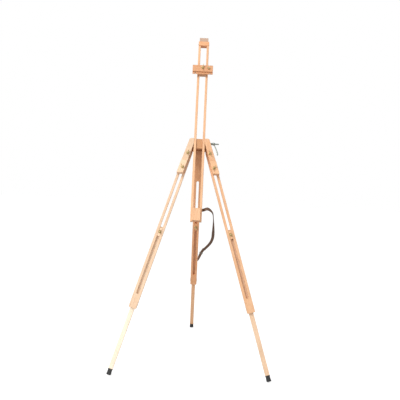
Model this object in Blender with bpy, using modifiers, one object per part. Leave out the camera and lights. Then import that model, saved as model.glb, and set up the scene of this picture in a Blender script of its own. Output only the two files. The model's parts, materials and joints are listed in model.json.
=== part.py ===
"""Tripod field easel: three telescopic legs, a tilting and sliding mast, canvas rests and a top clamp.

Metres, +Z up, front is -Y, +X is the right-hand side. The origin is on the floor under the middle of
the easel. Run with: blender --background --python part.py
"""
import math

import bmesh
import bpy
from mathutils import Matrix, Vector

# ---- Driving dimensions ---------------------------------------------------------------------------
CLAMP_HEIGHT = 1.171          # height of the transverse clamp bolt above the floor
CLAMP_DEPTH = -0.0125         # how far the clamp bolt lies in front of the plane used for the stance
FRONT_PITCH = 12.3            # degrees the front legs' plane leans, feet forward
FRONT_SPLAY = 16.6            # degrees each front leg opens sideways in its plane
REAR_LEAN = 25.9              # degrees the rear leg leans back from the vertical
MAST_LEAN = 17.1              # degrees the mast leans back from the vertical

GAP = 0.0003                  # clearance left between touching pieces
WOOD_EDGE = 0.0012            # rounding on the edges of wooden pieces

BOARD_WIDTH = 0.040           # front leg boards
REAR_BOARD_WIDTH = 0.038
BOARD_THICK = 0.014
BOARD_LENGTH = 0.841          # from the leg's pivot down to the lower end of its board
REAR_BOARD_LENGTH = 0.910
BOARD_ABOVE_PIVOT = 0.026     # board that stands above the pivot hole
BOARD_CORNER = 0.012          # rounded upper corners
REAR_BOARD_CORNER = 0.004
BOARD_CHAMFER = 0.003         # cut lower corners
SLOT_WIDTH = 0.014
SLOT_TOP = 0.035              # from the pivot down to the upper end of the slot
REAR_SLOT_TOP = 0.191
SLOT_FOOT = 0.073             # solid board left below the slot

BAR_WIDTH = 0.022             # lower, sliding part of a leg
BAR_THICK = 0.014
BAR_ABOVE_BOLT = 0.028        # bar that stands above its clamping bolt
FRONT_BOLT_DROP = 0.437       # from the pivot down to the lower leg's bolt, front
REAR_BOLT_DROP = 0.490        # the same on the rear leg
FOOT_LENGTH = 0.030
FOOT_WIDTH = 0.0235
FOOT_THICK = 0.018
FOOT_ROUND = 0.005
GUIDE_LENGTH = 0.044          # block that keeps the bar in line with the slot
SLIDE_CLEARANCE = 0.0004      # on each side of a block that slides in a slot
KEEPER_HEIGHT = 0.022         # steel loop that holds the bar to the foot of its board
KEEPER_SHEET = 0.0018
KEEPER_FLANGE = 0.007
KEEPER_RISE = 0.014           # from the board's end up to the loop's lower edge

BOLT_RADIUS = 0.003           # leg, rest, pivot and top clamp bolts
BORE_CLEARANCE = 0.0003
BOLT_HEAD_RADIUS = 0.0075
BOLT_HEAD_HEIGHT = 0.0035
BOLT_PROUD = 0.0035           # thread that shows past a wing nut
NUT_HUB_RADIUS = 0.0062
NUT_HUB_TOP_RADIUS = 0.0048
NUT_HEIGHT = 0.0085
WING_SPAN = 0.033             # across both wings
WING_RISE = 0.0165
WING_THICK = 0.0026

RAIL_THICK = 0.0125
RAIL_DEPTH = 0.024
RAIL_SPACING = 0.033          # clear distance between the rails
MAST_BELOW_BOLT = 0.424
MAST_ABOVE_BOLT = 0.579       # to the underside of the top block
RAIL_SLOT_END = 0.074         # solid rail left at each end of its slot
TOP_BLOCK_HEIGHT = 0.0255
TOP_BLOCK_DEPTH = 0.028
TOP_CAP_WIDTH = 0.048
TOP_CAP_HEIGHT = 0.024
TOP_CAP_DEPTH = 0.022
BOTTOM_BLOCK_HEIGHT = 0.065
BOTTOM_BLOCK_RISE = 0.003     # rails that show below the bottom block
BOTTOM_PLATE_WIDTH = 0.044
BOTTOM_PLATE_THICK = 0.008

CLAMP_BOLT_RADIUS = 0.0032
CLAMP_BOLT_REACH = 0.103      # right-hand end of the bolt from the middle
CLAMP_HEAD_RADIUS = 0.0080
CLAMP_HEAD_THICK = 0.005
SLEEVE_WALL = 0.0012
SADDLE_TOP = 0.024            # block between the rails, above and below the clamp bolt
SADDLE_FOOT = 0.030
SADDLE_RECESS = 0.006         # from the rails' front to the block's
CHEEK_THICK = 0.026
CHEEK_TOP = 0.025             # above the clamp bolt
CHEEK_FOOT = 0.099            # below the clamp bolt
CHEEK_ROUND = 0.012
SPOT_RADIUS = 0.0105          # flat sunk in the cheek's outer side for the bolt's head or hub
SPOT_OFFSET = 0.052
PIVOT_DROP = 0.056            # front leg pivots, below the clamp bolt
HEAD_HALF_SPREAD = 0.041      # leg centre line from the middle, level with the clamp bolt

YOKE_THICK = 0.018
YOKE_TOP = 0.020
YOKE_BELLY = 0.034            # lower edge of the yoke's middle, below the clamp bolt
YOKE_ARM_WIDTH = 0.030
YOKE_ARM_FOOT = 0.016         # arm that stands past the pivot
LUG_THICK = 0.008
LUG_REACH = 0.026
LUG_HEIGHT = 0.030
REAR_PIN_DROP = 0.012
REAR_PIN_SETBACK = 0.015      # from the back of the yoke
REAR_PIN_RADIUS = 0.003
REAR_PIN_PROUD = 0.002        # pin that stands out of each lug
REAR_TOP_BACK = 0.012         # rear board that stands above its pin

COLLAR_RADIUS = 0.0058        # spacer between the right cheek and the lever's hub
COLLAR_LENGTH = 0.0187
LEVER_HUB_RADIUS = 0.0075
LEVER_HUB_LENGTH = 0.011
LEVER_LENGTH = 0.058
LEVER_WIDTH = 0.009
LEVER_THICK = 0.0045
LEVER_FLARE = 20.0            # degrees the lever stands out from the hub's plane

REST_HEIGHT = 0.070
REST_THICK = 0.040
REST_BOLT_DROP = 0.039        # its bolt, below the block's upper edge
FACE_INSET = 0.008            # leg board left bare on the inner side of the cheek and the rest
REST_TONGUE_LENGTH = 0.040

CLAMP_BLOCK_WIDTH = 0.110
CLAMP_BLOCK_HEIGHT = 0.038
CLAMP_BLOCK_THICK = 0.028
CLAMP_RISE = 0.418            # middle of the clamp block above the clamp bolt, along the mast
CLAMP_LIP_WIDTH = 0.110
CLAMP_LIP_THICK = 0.005
CLAMP_LIP_HEIGHT = 0.010      # lip that hangs below the block
CLAMP_LIP_SETBACK = 0.0085    # from the block's face back to the lip's face
CLAMP_PLATE_WIDTH = 0.054
CLAMP_PLATE_THICK = 0.006
CLAMP_PLATE_BELOW = 0.021     # plate that reaches below the middle of the block
CLAMP_PLATE_HEIGHT = 0.037
CLAMP_TONGUE_HEIGHT = 0.042
CLAMP_TONGUE_BELOW = 0.019    # tongue that reaches below the middle of the block
CLAMP_NUT_RISE = 0.004
KNOB_OFFSET = 0.031
KNOB_RADIUS = 0.0062
KNOB_LENGTH = 0.010

STRAP_WIDTH = 0.016
STRAP_THICK = 0.0024
STRAP_SECTIONS = 56
STRAP_STANDOFF = 0.0012       # stud collar that keeps the strap's ends off the wood
STRAP_MAST_DROP = 0.358       # along the mast, from the clamp bolt to the strap's stud
STRAP_REAR_DROP = 0.729       # along the rear leg, from its pin to the strap's screw
STRAP_SEAT = 0.016            # strap that lies against the rear leg
STRAP_OVERHANG = 0.004        # strap that runs on past the mast before it bends

# ---- Values worked out from the driving dimensions --------------------------------------------------
CHEEK_BACK = CHEEK_THICK / 2
BOARD_FRONT = CHEEK_BACK + GAP
BOARD_MIDDLE = BOARD_FRONT + BOARD_THICK / 2
YOKE_FRONT = BOARD_FRONT + BOARD_THICK + GAP
YOKE_BACK = YOKE_FRONT + YOKE_THICK
MAST_HALF = RAIL_SPACING / 2 + RAIL_THICK
SLEEVE_RADIUS = CLAMP_BOLT_RADIUS + BORE_CLEARANCE + SLEEVE_WALL
RAIL_SLOT_WIDTH = 2 * (SLEEVE_RADIUS + BORE_CLEARANCE)
BAR_FRONT = BOARD_THICK / 2 + GAP
BORE_RADIUS = BOLT_RADIUS + BORE_CLEARANCE
SPLAY = math.radians(FRONT_SPLAY)
REST_DROP = (CHEEK_FOOT - PIVOT_DROP) / math.cos(SPLAY) + GAP
PIVOT_X = HEAD_HALF_SPREAD + PIVOT_DROP * math.tan(SPLAY)
BAR_MIDDLE = BAR_FRONT + BAR_THICK / 2

WOOD = ("beech", (0.80, 0.52, 0.30), 0.45, 0.0)
STEEL = ("steel", (0.42, 0.44, 0.42), 0.35, 1.0)
BRASS = ("brass", (0.66, 0.50, 0.22), 0.35, 1.0)
RUBBER = ("rubber", (0.03, 0.03, 0.03), 0.8, 0.0)
LEATHER = ("leather", (0.13, 0.06, 0.03), 0.6, 0.0)


# ---- Scene helpers ----------------------------------------------------------------------------------
def clear_scene():
    """Remove every object that the file opened with."""
    for old in list(bpy.data.objects):
        bpy.data.objects.remove(old, do_unlink=True)


def new_collection(name):
    """A collection linked straight under the scene."""
    group = bpy.data.collections.new(name)
    bpy.context.scene.collection.children.link(group)
    return group


clear_scene()
EASEL = new_collection("tripod_field_easel")
CUTTERS = new_collection("cutters")


def material(finish):
    """One Principled material for each finish, made the first time it is asked for."""
    name, colour, roughness, metallic = finish
    made = bpy.data.materials.get(name)
    if made is None:
        made = bpy.data.materials.new(name)
        made.use_nodes = True
        shader = made.node_tree.nodes["Principled BSDF"]
        shader.inputs["Base Color"].default_value = (*colour, 1.0)
        shader.inputs["Roughness"].default_value = roughness
        shader.inputs["Metallic"].default_value = metallic
    return made


def frame_empty(name, location, rotation, parent=None):
    """An empty that carries the local axes of one assembly."""
    empty = bpy.data.objects.new(name, None)
    empty.location = location
    empty.rotation_euler = rotation
    empty.parent = parent
    EASEL.objects.link(empty)
    return empty


def place(name, mesh, parent, location=(0, 0, 0), rotation=(0, 0, 0), finish=WOOD, group=None):
    """Put a mesh in the scene as a named piece in its parent's axes."""
    piece = bpy.data.objects.new(name, mesh)
    piece.parent = parent
    piece.location = location
    piece.rotation_euler = rotation
    if group is None:
        EASEL.objects.link(piece)
        if not mesh.materials:
            mesh.materials.append(material(finish))
    else:
        group.objects.link(piece)
        piece.hide_render = True
        piece.display_type = "WIRE"
    return piece


def finish_mesh(bm, name):
    """Turn a bmesh into a mesh with its faces pointing out."""
    bmesh.ops.recalc_face_normals(bm, faces=bm.faces)
    mesh = bpy.data.meshes.new(name)
    bm.to_mesh(mesh)
    bm.free()
    return mesh


def box_mesh(name, size):
    """A box centred on its origin."""
    bm = bmesh.new()
    bmesh.ops.create_cube(bm, size=1.0, matrix=Matrix.Diagonal((*size, 1.0)))
    return finish_mesh(bm, name)


def rod_mesh(name, radius, length, axis="Y", sides=24, top_radius=None):
    """A cylinder or cone along one axis, centred on its origin."""
    turns = {"X": Matrix.Rotation(math.pi / 2, 4, "Y"), "Z": Matrix.Identity(4),
             "Y": Matrix.Rotation(math.pi / 2, 4, "X")}
    bm = bmesh.new()
    bmesh.ops.create_cone(bm, cap_ends=True, segments=sides, radius1=radius,
                          radius2=radius if top_radius is None else top_radius,
                          depth=length, matrix=turns[axis])
    mesh = finish_mesh(bm, name)
    smooth(mesh)
    return mesh


def smooth(mesh):
    """Shade round faces smooth and keep the real edges sharp."""
    mesh.shade_smooth()
    mesh.set_sharp_from_angle(angle=math.radians(40))


def arc(centre, radius, start, end, count):
    """Points on an arc, angles in degrees."""
    points = []
    for step in range(count + 1):
        angle = math.radians(start + (end - start) * step / count)
        points.append((centre[0] + radius * math.cos(angle), centre[1] + radius * math.sin(angle)))
    return points


def stadium(centre, width, length, steps=8):
    """A slot outline with round ends, upright, around its centre."""
    reach = length / 2 - width / 2
    upper = arc((centre[0], centre[1] + reach), width / 2, 0, 180, steps)
    lower = arc((centre[0], centre[1] - reach), width / 2, 180, 360, steps)
    return upper + lower


def circle(centre, radius, steps=20):
    """Points of a closed circle."""
    return arc(centre, radius, 0, 360 * (steps - 1) / steps, steps - 1)


PLANES = {
    "XZ": Matrix(((1, 0, 0, 0), (0, 0, -1, 0), (0, 1, 0, 0), (0, 0, 0, 1))),
    "YZ": Matrix(((0, 0, 1, 0), (1, 0, 0, 0), (0, 1, 0, 0), (0, 0, 0, 1))),
    "XY": Matrix.Identity(4),
}


def plate_mesh(name, outlines, thickness, plane="XZ"):
    """A flat piece from its outline and the outlines of its holes."""
    curve = bpy.data.curves.new(name, "CURVE")
    curve.dimensions = "2D"
    curve.fill_mode = "BOTH"
    curve.extrude = thickness / 2
    for outline in outlines:
        spline = curve.splines.new("POLY")
        spline.points.add(len(outline) - 1)
        for point, (across, up) in zip(spline.points, outline):
            point.co = (across, up, 0, 1)
        spline.use_cyclic_u = True
    holder = bpy.data.objects.new(name, curve)
    bpy.context.scene.collection.objects.link(holder)
    bpy.context.view_layer.update()
    graph = bpy.context.evaluated_depsgraph_get()
    mesh = bpy.data.meshes.new_from_object(holder.evaluated_get(graph))
    bpy.data.objects.remove(holder, do_unlink=True)
    bm = bmesh.new()
    bm.from_mesh(mesh)
    bmesh.ops.remove_doubles(bm, verts=bm.verts, dist=0.00001)
    bmesh.ops.transform(bm, matrix=PLANES[plane], verts=bm.verts)
    bpy.data.meshes.remove(mesh)
    return finish_mesh(bm, name)


def ease_edges(piece, width=WOOD_EDGE, segments=1):
    """Take the sharpness off a piece's edges."""
    edge = piece.modifiers.new("eased_edges", "BEVEL")
    edge.width = width
    edge.segments = segments
    edge.limit_method = "ANGLE"
    edge.angle_limit = math.radians(50)
    edge.harden_normals = False
    return piece


def cut(piece, mesh, location=(0, 0, 0), rotation=(0, 0, 0), operation="DIFFERENCE"):
    """Cut a mesh out of a piece, or join it on, in the axes of the piece's parent."""
    cutter = place(mesh.name, mesh, piece.parent, location, rotation, group=CUTTERS)
    boolean = piece.modifiers.new(mesh.name, "BOOLEAN")
    boolean.operation = operation
    boolean.solver = "EXACT"
    boolean.object = cutter
    return piece


def turned_mesh(name, profile, axis="Y", steps=20):
    """A profile swept by a Screw modifier; it lists (radius, station) down its outer side."""
    bm = bmesh.new()
    points = [bm.verts.new((radius, 0, station)) for radius, station in profile]
    for upper, lower in zip(points, points[1:]):
        bm.edges.new((upper, lower))
    outline = bpy.data.meshes.new(name + "_profile")
    bm.to_mesh(outline)
    bm.free()
    blank = bpy.data.objects.new(name + "_profile", outline)
    bpy.context.scene.collection.objects.link(blank)
    screw = blank.modifiers.new("Screw", "SCREW")
    screw.axis = "Z"
    screw.steps = steps
    screw.render_steps = steps
    screw.use_merge_vertices = True
    screw.merge_threshold = 0.00001
    graph = bpy.context.evaluated_depsgraph_get()
    mesh = bpy.data.meshes.new_from_object(blank.evaluated_get(graph))
    bpy.data.objects.remove(blank)
    turn = {"Z": Matrix.Identity(4), "Y": Matrix.Rotation(math.pi / 2, 4, "X"),
            "X": Matrix.Rotation(math.pi / 2, 4, "Y")}
    mesh.transform(turn[axis])
    smooth(mesh)
    return mesh


def bolt(name, parent, location, front, back, finish=BRASS):
    """A round-headed bolt along Y: its thread ends at -front and its head seats at +back."""
    profile = [(0, front), (BOLT_RADIUS * 0.75, front), (BOLT_RADIUS, front - 0.0008),
               (BOLT_RADIUS, -back), (BOLT_HEAD_RADIUS, -back),
               (BOLT_HEAD_RADIUS, -back - BOLT_HEAD_HEIGHT * 0.3),
               (BOLT_HEAD_RADIUS * 0.7, -back - BOLT_HEAD_HEIGHT * 0.8), (0, -back - BOLT_HEAD_HEIGHT)]
    return place(name, turned_mesh(name, profile), parent, location, finish=finish)


def wing_outline():
    """Outline of the wings, across the nut and along its axis."""
    half = WING_SPAN / 2
    lobe = WING_SPAN * 0.125
    right = [(NUT_HUB_TOP_RADIUS * 0.7, NUT_HEIGHT * 0.95), (NUT_HUB_RADIUS, NUT_HEIGHT * 0.12)]
    top = arc((half - lobe, WING_RISE - lobe), lobe, -40, 150, 8)
    wing = [right[1]] + top + [right[0]]
    mirrored = [(-across, up) for across, up in reversed(wing)]
    return wing + mirrored


def wing_nut(name, parent, location, turn=0.0, finish=BRASS):
    """A wing nut facing -Y with its seat at the location, wings turned about its axis."""
    hub = rod_mesh(name, NUT_HUB_RADIUS, NUT_HEIGHT, "Y", 20, NUT_HUB_TOP_RADIUS)
    hub.transform(Matrix.Translation((0, -NUT_HEIGHT / 2, 0)))
    nut = place(name, hub, parent, location, (0, turn, 0), finish)
    flip = Matrix(((1, 0, 0, 0), (0, -1, 0, 0), (0, 0, 1, 0), (0, 0, 0, 1)))
    wings = plate_mesh(name + "_wings", [wing_outline()], WING_THICK, "XY")
    wings.transform(flip)
    wings.flip_normals()
    cut(nut, wings, location, (0, turn, 0), "UNION")
    bore = rod_mesh(name + "_bore", BORE_RADIUS, 4 * NUT_HEIGHT, "Y", 16)
    return cut(nut, bore, location)


def plank(name, parent, size, location):
    """A plain wooden block with eased edges."""
    return ease_edges(place(name, box_mesh(name, size), parent, location))


# ---- Frames of the assemblies ------------------------------------------------------------------------
easel_frame = frame_empty("easel_frame", (0, 0, 0), (0, 0, 0))
head = frame_empty("head_frame", (0, CLAMP_DEPTH, CLAMP_HEIGHT), (-math.radians(FRONT_PITCH), 0, 0),
                   easel_frame)
mast = frame_empty("mast_frame", (0, CLAMP_DEPTH, CLAMP_HEIGHT), (-math.radians(MAST_LEAN), 0, 0),
                   easel_frame)


# ---- Head -------------------------------------------------------------------------------------------
def leg_edge(side, offset, drop):
    """X of a line parallel to a front leg, offset sideways from its centre line, below the bolt."""
    return side * (HEAD_HALF_SPREAD + drop * math.tan(SPLAY) + offset / math.cos(SPLAY))


def cheek(side, name):
    """Wooden cheek in front of a leg's top: straight along the mast, slanted like the leg outside."""
    outer = BOARD_WIDTH / 2
    inner = outer - FACE_INSET
    rail_line = MAST_HALF + 2 * GAP
    crossing = (rail_line - HEAD_HALF_SPREAD + inner / math.cos(SPLAY)) / math.tan(SPLAY)
    outer_top = leg_edge(side, outer, -CHEEK_TOP)
    round_centre = (outer_top - side * CHEEK_ROUND, CHEEK_TOP - CHEEK_ROUND)
    shoulder = arc(round_centre, CHEEK_ROUND, 90, 90 - side * 85, 5)
    outline = [(side * rail_line, CHEEK_TOP)] + shoulder
    outline += [(leg_edge(side, outer, CHEEK_FOOT), -CHEEK_FOOT)]
    outline += [(leg_edge(side, -inner, CHEEK_FOOT), -CHEEK_FOOT), (side * rail_line, -crossing)]
    bore = circle((side * PIVOT_X, -PIVOT_DROP), BORE_RADIUS, 16)
    piece = place(name, plate_mesh(name, [outline, bore], CHEEK_THICK), head)
    cross = rod_mesh(name + "_cross_bore", CLAMP_BOLT_RADIUS + BORE_CLEARANCE, 0.2, "X", 20)
    cut(piece, cross)
    spot = rod_mesh(name + "_spot_face", SPOT_RADIUS, 0.08, "X", 28)
    cut(piece, spot, (side * (SPOT_OFFSET + 0.04), 0, 0))
    return ease_edges(piece)


def yoke():
    """Plate behind the leg tops that ties both leg pivots and the rear hinge together."""
    outline = []
    for side in (1, -1):
        arm_half = YOKE_ARM_WIDTH / 2
        foot_drop = PIVOT_DROP + YOKE_ARM_FOOT
        top_outer = (leg_edge(side, arm_half, -YOKE_TOP), YOKE_TOP)
        foot_outer = (leg_edge(side, arm_half, foot_drop), -foot_drop)
        foot_inner = (leg_edge(side, -arm_half, foot_drop), -foot_drop)
        belly = (leg_edge(side, -arm_half, YOKE_BELLY), -YOKE_BELLY)
        run = [top_outer, foot_outer, foot_inner, belly]
        outline += run if side > 0 else list(reversed(run))
    bores = [circle((side * PIVOT_X, -PIVOT_DROP), BORE_RADIUS, 16) for side in (-1, 1)]
    piece = place("head_yoke", plate_mesh("head_yoke", [outline] + bores, YOKE_THICK), head,
                  (0, YOKE_FRONT + YOKE_THICK / 2, 0))
    return ease_edges(piece)


LUG_OFFSET = REAR_BOARD_WIDTH / 2 + GAP + LUG_THICK / 2
REAR_PIN_DEPTH = YOKE_BACK + REAR_PIN_SETBACK


def rear_lug(side, name):
    """Lug on the yoke's back that holds one end of the rear leg's pin."""
    foot = YOKE_BACK + GAP
    middle = -REAR_PIN_DROP
    half = LUG_HEIGHT / 2
    nose = arc((foot + LUG_REACH - half, middle), half, 90, -90, 10)
    outline = [(foot, middle + half)] + nose + [(foot, middle - half)]
    bore = circle((REAR_PIN_DEPTH, middle), REAR_PIN_RADIUS + BORE_CLEARANCE, 16)
    mesh = plate_mesh(name, [outline, bore], LUG_THICK, "YZ")
    return place(name, mesh, head, (side * LUG_OFFSET, 0, 0))


def clamp_bolt():
    """Transverse bolt: hexagon head sunk in the left cheek, thread standing out on the right."""
    head_face = -(SPOT_OFFSET + GAP)
    profile = [(0, CLAMP_BOLT_REACH), (CLAMP_BOLT_RADIUS * 0.75, CLAMP_BOLT_REACH),
               (CLAMP_BOLT_RADIUS, CLAMP_BOLT_REACH - 0.001), (CLAMP_BOLT_RADIUS, head_face),
               (CLAMP_HEAD_RADIUS, head_face), (CLAMP_HEAD_RADIUS, head_face - CLAMP_HEAD_THICK * 0.7),
               (CLAMP_HEAD_RADIUS * 0.7, head_face - CLAMP_HEAD_THICK),
               (0, head_face - CLAMP_HEAD_THICK)]
    return place("clamp_bolt", turned_mesh("clamp_bolt", profile, "X"), head, finish=STEEL)


for side, word in ((-1, "left"), (1, "right")):
    cheek(side, word + "_cheek")
    rear_lug(side, "rear_hinge_lug_" + word)
    bolt(word + "_pivot_bolt", head, (side * PIVOT_X, 0, -PIVOT_DROP),
         CHEEK_THICK / 2 + NUT_HEIGHT + BOLT_PROUD, YOKE_BACK + GAP)
    wing_nut(word + "_pivot_wing_nut", head, (side * PIVOT_X, -CHEEK_THICK / 2 - GAP, -PIVOT_DROP),
             math.radians(90) - side * SPLAY)
yoke()
clamp_bolt()
pin_length = 2 * LUG_OFFSET + LUG_THICK + 2 * REAR_PIN_PROUD
place("rear_hinge_pin", rod_mesh("rear_hinge_pin", REAR_PIN_RADIUS, pin_length, "X", 20), head,
      (0, REAR_PIN_DEPTH, -REAR_PIN_DROP), finish=STEEL)


# ---- Clamp lever --------------------------------------------------------------------------------------
def lever():
    """Hub on the bolt's right-hand thread, with a flared arm that hangs down at rest."""
    collar_start = SPOT_OFFSET + GAP
    hub_start = collar_start + COLLAR_LENGTH + GAP
    bolt_bore = CLAMP_BOLT_RADIUS + BORE_CLEARANCE
    collar_middle = collar_start + COLLAR_LENGTH / 2
    collar = place("lever_collar", rod_mesh("lever_collar", COLLAR_RADIUS, COLLAR_LENGTH, "X", 24), head,
                   (collar_middle, 0, 0), finish=STEEL)
    cut(collar, rod_mesh("collar_bore", bolt_bore, 2 * COLLAR_LENGTH, "X", 20), (collar_middle, 0, 0))
    hub_middle = hub_start + LEVER_HUB_LENGTH / 2
    hub = rod_mesh("lever_hub", LEVER_HUB_RADIUS, LEVER_HUB_LENGTH, "X", 24)
    piece = place("lever_hub", hub, head, (hub_middle, 0, 0), finish=STEEL)
    cut(piece, rod_mesh("lever_bore", bolt_bore, 2 * LEVER_HUB_LENGTH, "X", 20), (hub_middle, 0, 0))
    flare = math.radians(LEVER_FLARE)
    top = -LEVER_HUB_RADIUS - GAP - LEVER_THICK / 2 * math.sin(flare)
    outline = [(-LEVER_WIDTH * 0.30, 0)]
    outline += arc((0, LEVER_WIDTH / 2 - LEVER_LENGTH), LEVER_WIDTH / 2, 180, 360, 8)
    outline += [(LEVER_WIDTH * 0.30, 0)]
    mesh = plate_mesh("lever_arm", [outline], LEVER_THICK, "YZ")
    arm = place("lever_arm", mesh, head, (hub_middle, 0, top), (0, -flare, 0), STEEL)
    return ease_edges(arm, 0.0008)


lever()


# ---- Legs -----------------------------------------------------------------------------------------------
def leg_board(name, frame, width, length, slot_top, crosswise):
    """Upper board of a leg: a slot for the bolts and a pivot hole along Y, or along X if crosswise."""
    half = width / 2
    above = REAR_TOP_BACK if crosswise else BOARD_ABOVE_PIVOT
    corner = REAR_BOARD_CORNER if crosswise else BOARD_CORNER
    outline = arc((half - corner, above - corner), corner, 0, 90, 4)
    outline += arc((corner - half, above - corner), corner, 90, 180, 4)
    outline += [(-half, BOARD_CHAMFER - length), (BOARD_CHAMFER - half, -length),
                (half - BOARD_CHAMFER, -length), (half, BOARD_CHAMFER - length)]
    slot_length = length - SLOT_FOOT - slot_top
    slot = stadium((0, -slot_top - slot_length / 2), SLOT_WIDTH, slot_length)
    holes = [slot] if crosswise else [slot, circle((0, 0), BORE_RADIUS, 16)]
    piece = place(name, plate_mesh(name, [outline] + holes, BOARD_THICK), frame)
    if crosswise:
        cut(piece, rod_mesh(name + "_pin_bore", REAR_PIN_RADIUS + BORE_CLEARANCE, 2 * width, "X", 20))
    return ease_edges(piece)


def keeper(name, frame, length):
    """Steel loop behind the foot of a board, through which the bar slides."""
    inner_half = BAR_WIDTH / 2 + SLIDE_CLEARANCE
    outer_half = inner_half + KEEPER_SHEET
    flange_half = outer_half + KEEPER_FLANGE
    seat = BOARD_THICK / 2 + GAP
    inner_back = BAR_FRONT + BAR_THICK + SLIDE_CLEARANCE
    back = inner_back + KEEPER_SHEET
    outline = [(-flange_half, seat), (-inner_half, seat), (-inner_half, inner_back),
               (inner_half, inner_back), (inner_half, seat), (flange_half, seat),
               (flange_half, seat + KEEPER_SHEET), (outer_half, seat + KEEPER_SHEET),
               (outer_half, back), (-outer_half, back), (-outer_half, seat + KEEPER_SHEET),
               (-flange_half, seat + KEEPER_SHEET)]
    mesh = plate_mesh(name, [outline], KEEPER_HEIGHT, "XY")
    return place(name, mesh, frame, (0, 0, KEEPER_RISE + KEEPER_HEIGHT / 2 - length), finish=STEEL)


def lower_leg(word, frame, reach, drop):
    """Sliding bar with its guide block, bolt, wing nut and rubber foot."""
    bar_top = BAR_ABOVE_BOLT - drop
    bar_foot = FOOT_LENGTH - reach + GAP
    bar_length = bar_top - bar_foot
    name = word + "_lower_bar"
    bar = place(name, box_mesh(name, (BAR_WIDTH, BAR_THICK, bar_length)), frame,
                (0, BAR_MIDDLE, bar_foot + bar_length / 2))
    cut(bar, rod_mesh(name + "_bore", BORE_RADIUS, 0.05, "Y", 16), (0, BAR_MIDDLE, -drop))
    ease_edges(bar)
    name = word + "_guide_block"
    guide_thick = BOARD_THICK - 2 * GAP
    guide_width = SLOT_WIDTH - 2 * SLIDE_CLEARANCE
    guide = place(name, box_mesh(name, (guide_width, guide_thick, GUIDE_LENGTH)), frame,
                  (0, 0, -drop))
    cut(guide, rod_mesh(name + "_bore", BORE_RADIUS, 0.05, "Y", 16), (0, 0, -drop))
    nut_seat = BOARD_THICK / 2 + GAP
    bolt(word + "_leg_bolt", frame, (0, 0, -drop), nut_seat + NUT_HEIGHT + BOLT_PROUD,
         BAR_FRONT + BAR_THICK + GAP)
    wing_nut(word + "_leg_wing_nut", frame, (0, -nut_seat, -drop), math.radians(62))
    name = word + "_foot"
    foot = place(name, box_mesh(name, (FOOT_WIDTH, FOOT_THICK, FOOT_LENGTH)), frame,
                 (0, BAR_MIDDLE, FOOT_LENGTH / 2 - reach), finish=RUBBER)
    ease_edges(foot, FOOT_ROUND, 2)
    smooth(foot.data)


def canvas_rest(side, word, frame):
    """Canvas rest on a front leg: a thick block with level ends, a tongue in the slot, a bolt and nut."""
    slope = math.tan(SPLAY) * side
    outer = side * BOARD_WIDTH / 2
    inner = side * (FACE_INSET - BOARD_WIDTH / 2)
    front = BOARD_THICK / 2 + GAP
    top = -REST_DROP
    foot = top - REST_HEIGHT
    bolt_height = top - REST_BOLT_DROP
    outline = [(outer, top - outer * slope), (inner, top - inner * slope),
               (inner, foot - inner * slope), (outer, foot - outer * slope)]
    bore = circle((0, bolt_height), BORE_RADIUS, 16)
    name = word + "_rest_block"
    block = place(name, plate_mesh(name, [outline, bore], REST_THICK), frame,
                  (0, -front - REST_THICK / 2, 0))
    ease_edges(block)
    name = word + "_rest_tongue"
    tongue_size = (SLOT_WIDTH - 2 * SLIDE_CLEARANCE, BOARD_THICK - 2 * GAP, REST_TONGUE_LENGTH)
    tongue = place(name, box_mesh(name, tongue_size), frame, (0, 0, bolt_height))
    cut(tongue, rod_mesh(name + "_bore", BORE_RADIUS, 0.05, "Y", 16), (0, 0, bolt_height))
    nut_seat = front + REST_THICK + GAP
    bolt(word + "_rest_bolt", frame, (0, 0, bolt_height), nut_seat + NUT_HEIGHT + BOLT_PROUD,
         BOARD_THICK / 2 + GAP)
    wing_nut(word + "_rest_wing_nut", frame, (0, -nut_seat, bolt_height), math.radians(-38 * side))


def floor_reach(axes):
    """Distance down a leg at which its slanted foot just stands on the floor."""
    height = axes.to_3x3()[2]
    corner = abs(height[0]) * (FOOT_WIDTH / 2 - FOOT_ROUND) + abs(height[1]) * (FOOT_THICK / 2 - FOOT_ROUND)
    lowest = corner + FOOT_ROUND * (1 - height[2])
    start = axes @ Vector((0, BAR_MIDDLE, 0))
    return (start.z - lowest) / height[2]


bpy.context.view_layer.update()
for side, word in ((-1, "left"), (1, "right")):
    frame = frame_empty(word + "_leg_frame", (side * PIVOT_X, BOARD_MIDDLE, -PIVOT_DROP),
                        (0, -side * SPLAY, 0), head)
    bpy.context.view_layer.update()
    leg_board(word + "_leg_board", frame, BOARD_WIDTH, BOARD_LENGTH, SLOT_TOP, False)
    keeper(word + "_leg_keeper", frame, BOARD_LENGTH)
    lower_leg(word, frame, floor_reach(frame.matrix_world), FRONT_BOLT_DROP)
    canvas_rest(side, word, frame)

pin_world = head.matrix_world @ Vector((0, REAR_PIN_DEPTH, -REAR_PIN_DROP))
rear = frame_empty("rear_leg_frame", pin_world, (math.radians(REAR_LEAN), 0, 0), easel_frame)
bpy.context.view_layer.update()
leg_board("rear_leg_board", rear, REAR_BOARD_WIDTH, REAR_BOARD_LENGTH, REAR_SLOT_TOP, True)
keeper("rear_leg_keeper", rear, REAR_BOARD_LENGTH)
lower_leg("rear", rear, floor_reach(rear.matrix_world), REAR_BOLT_DROP)


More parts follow.
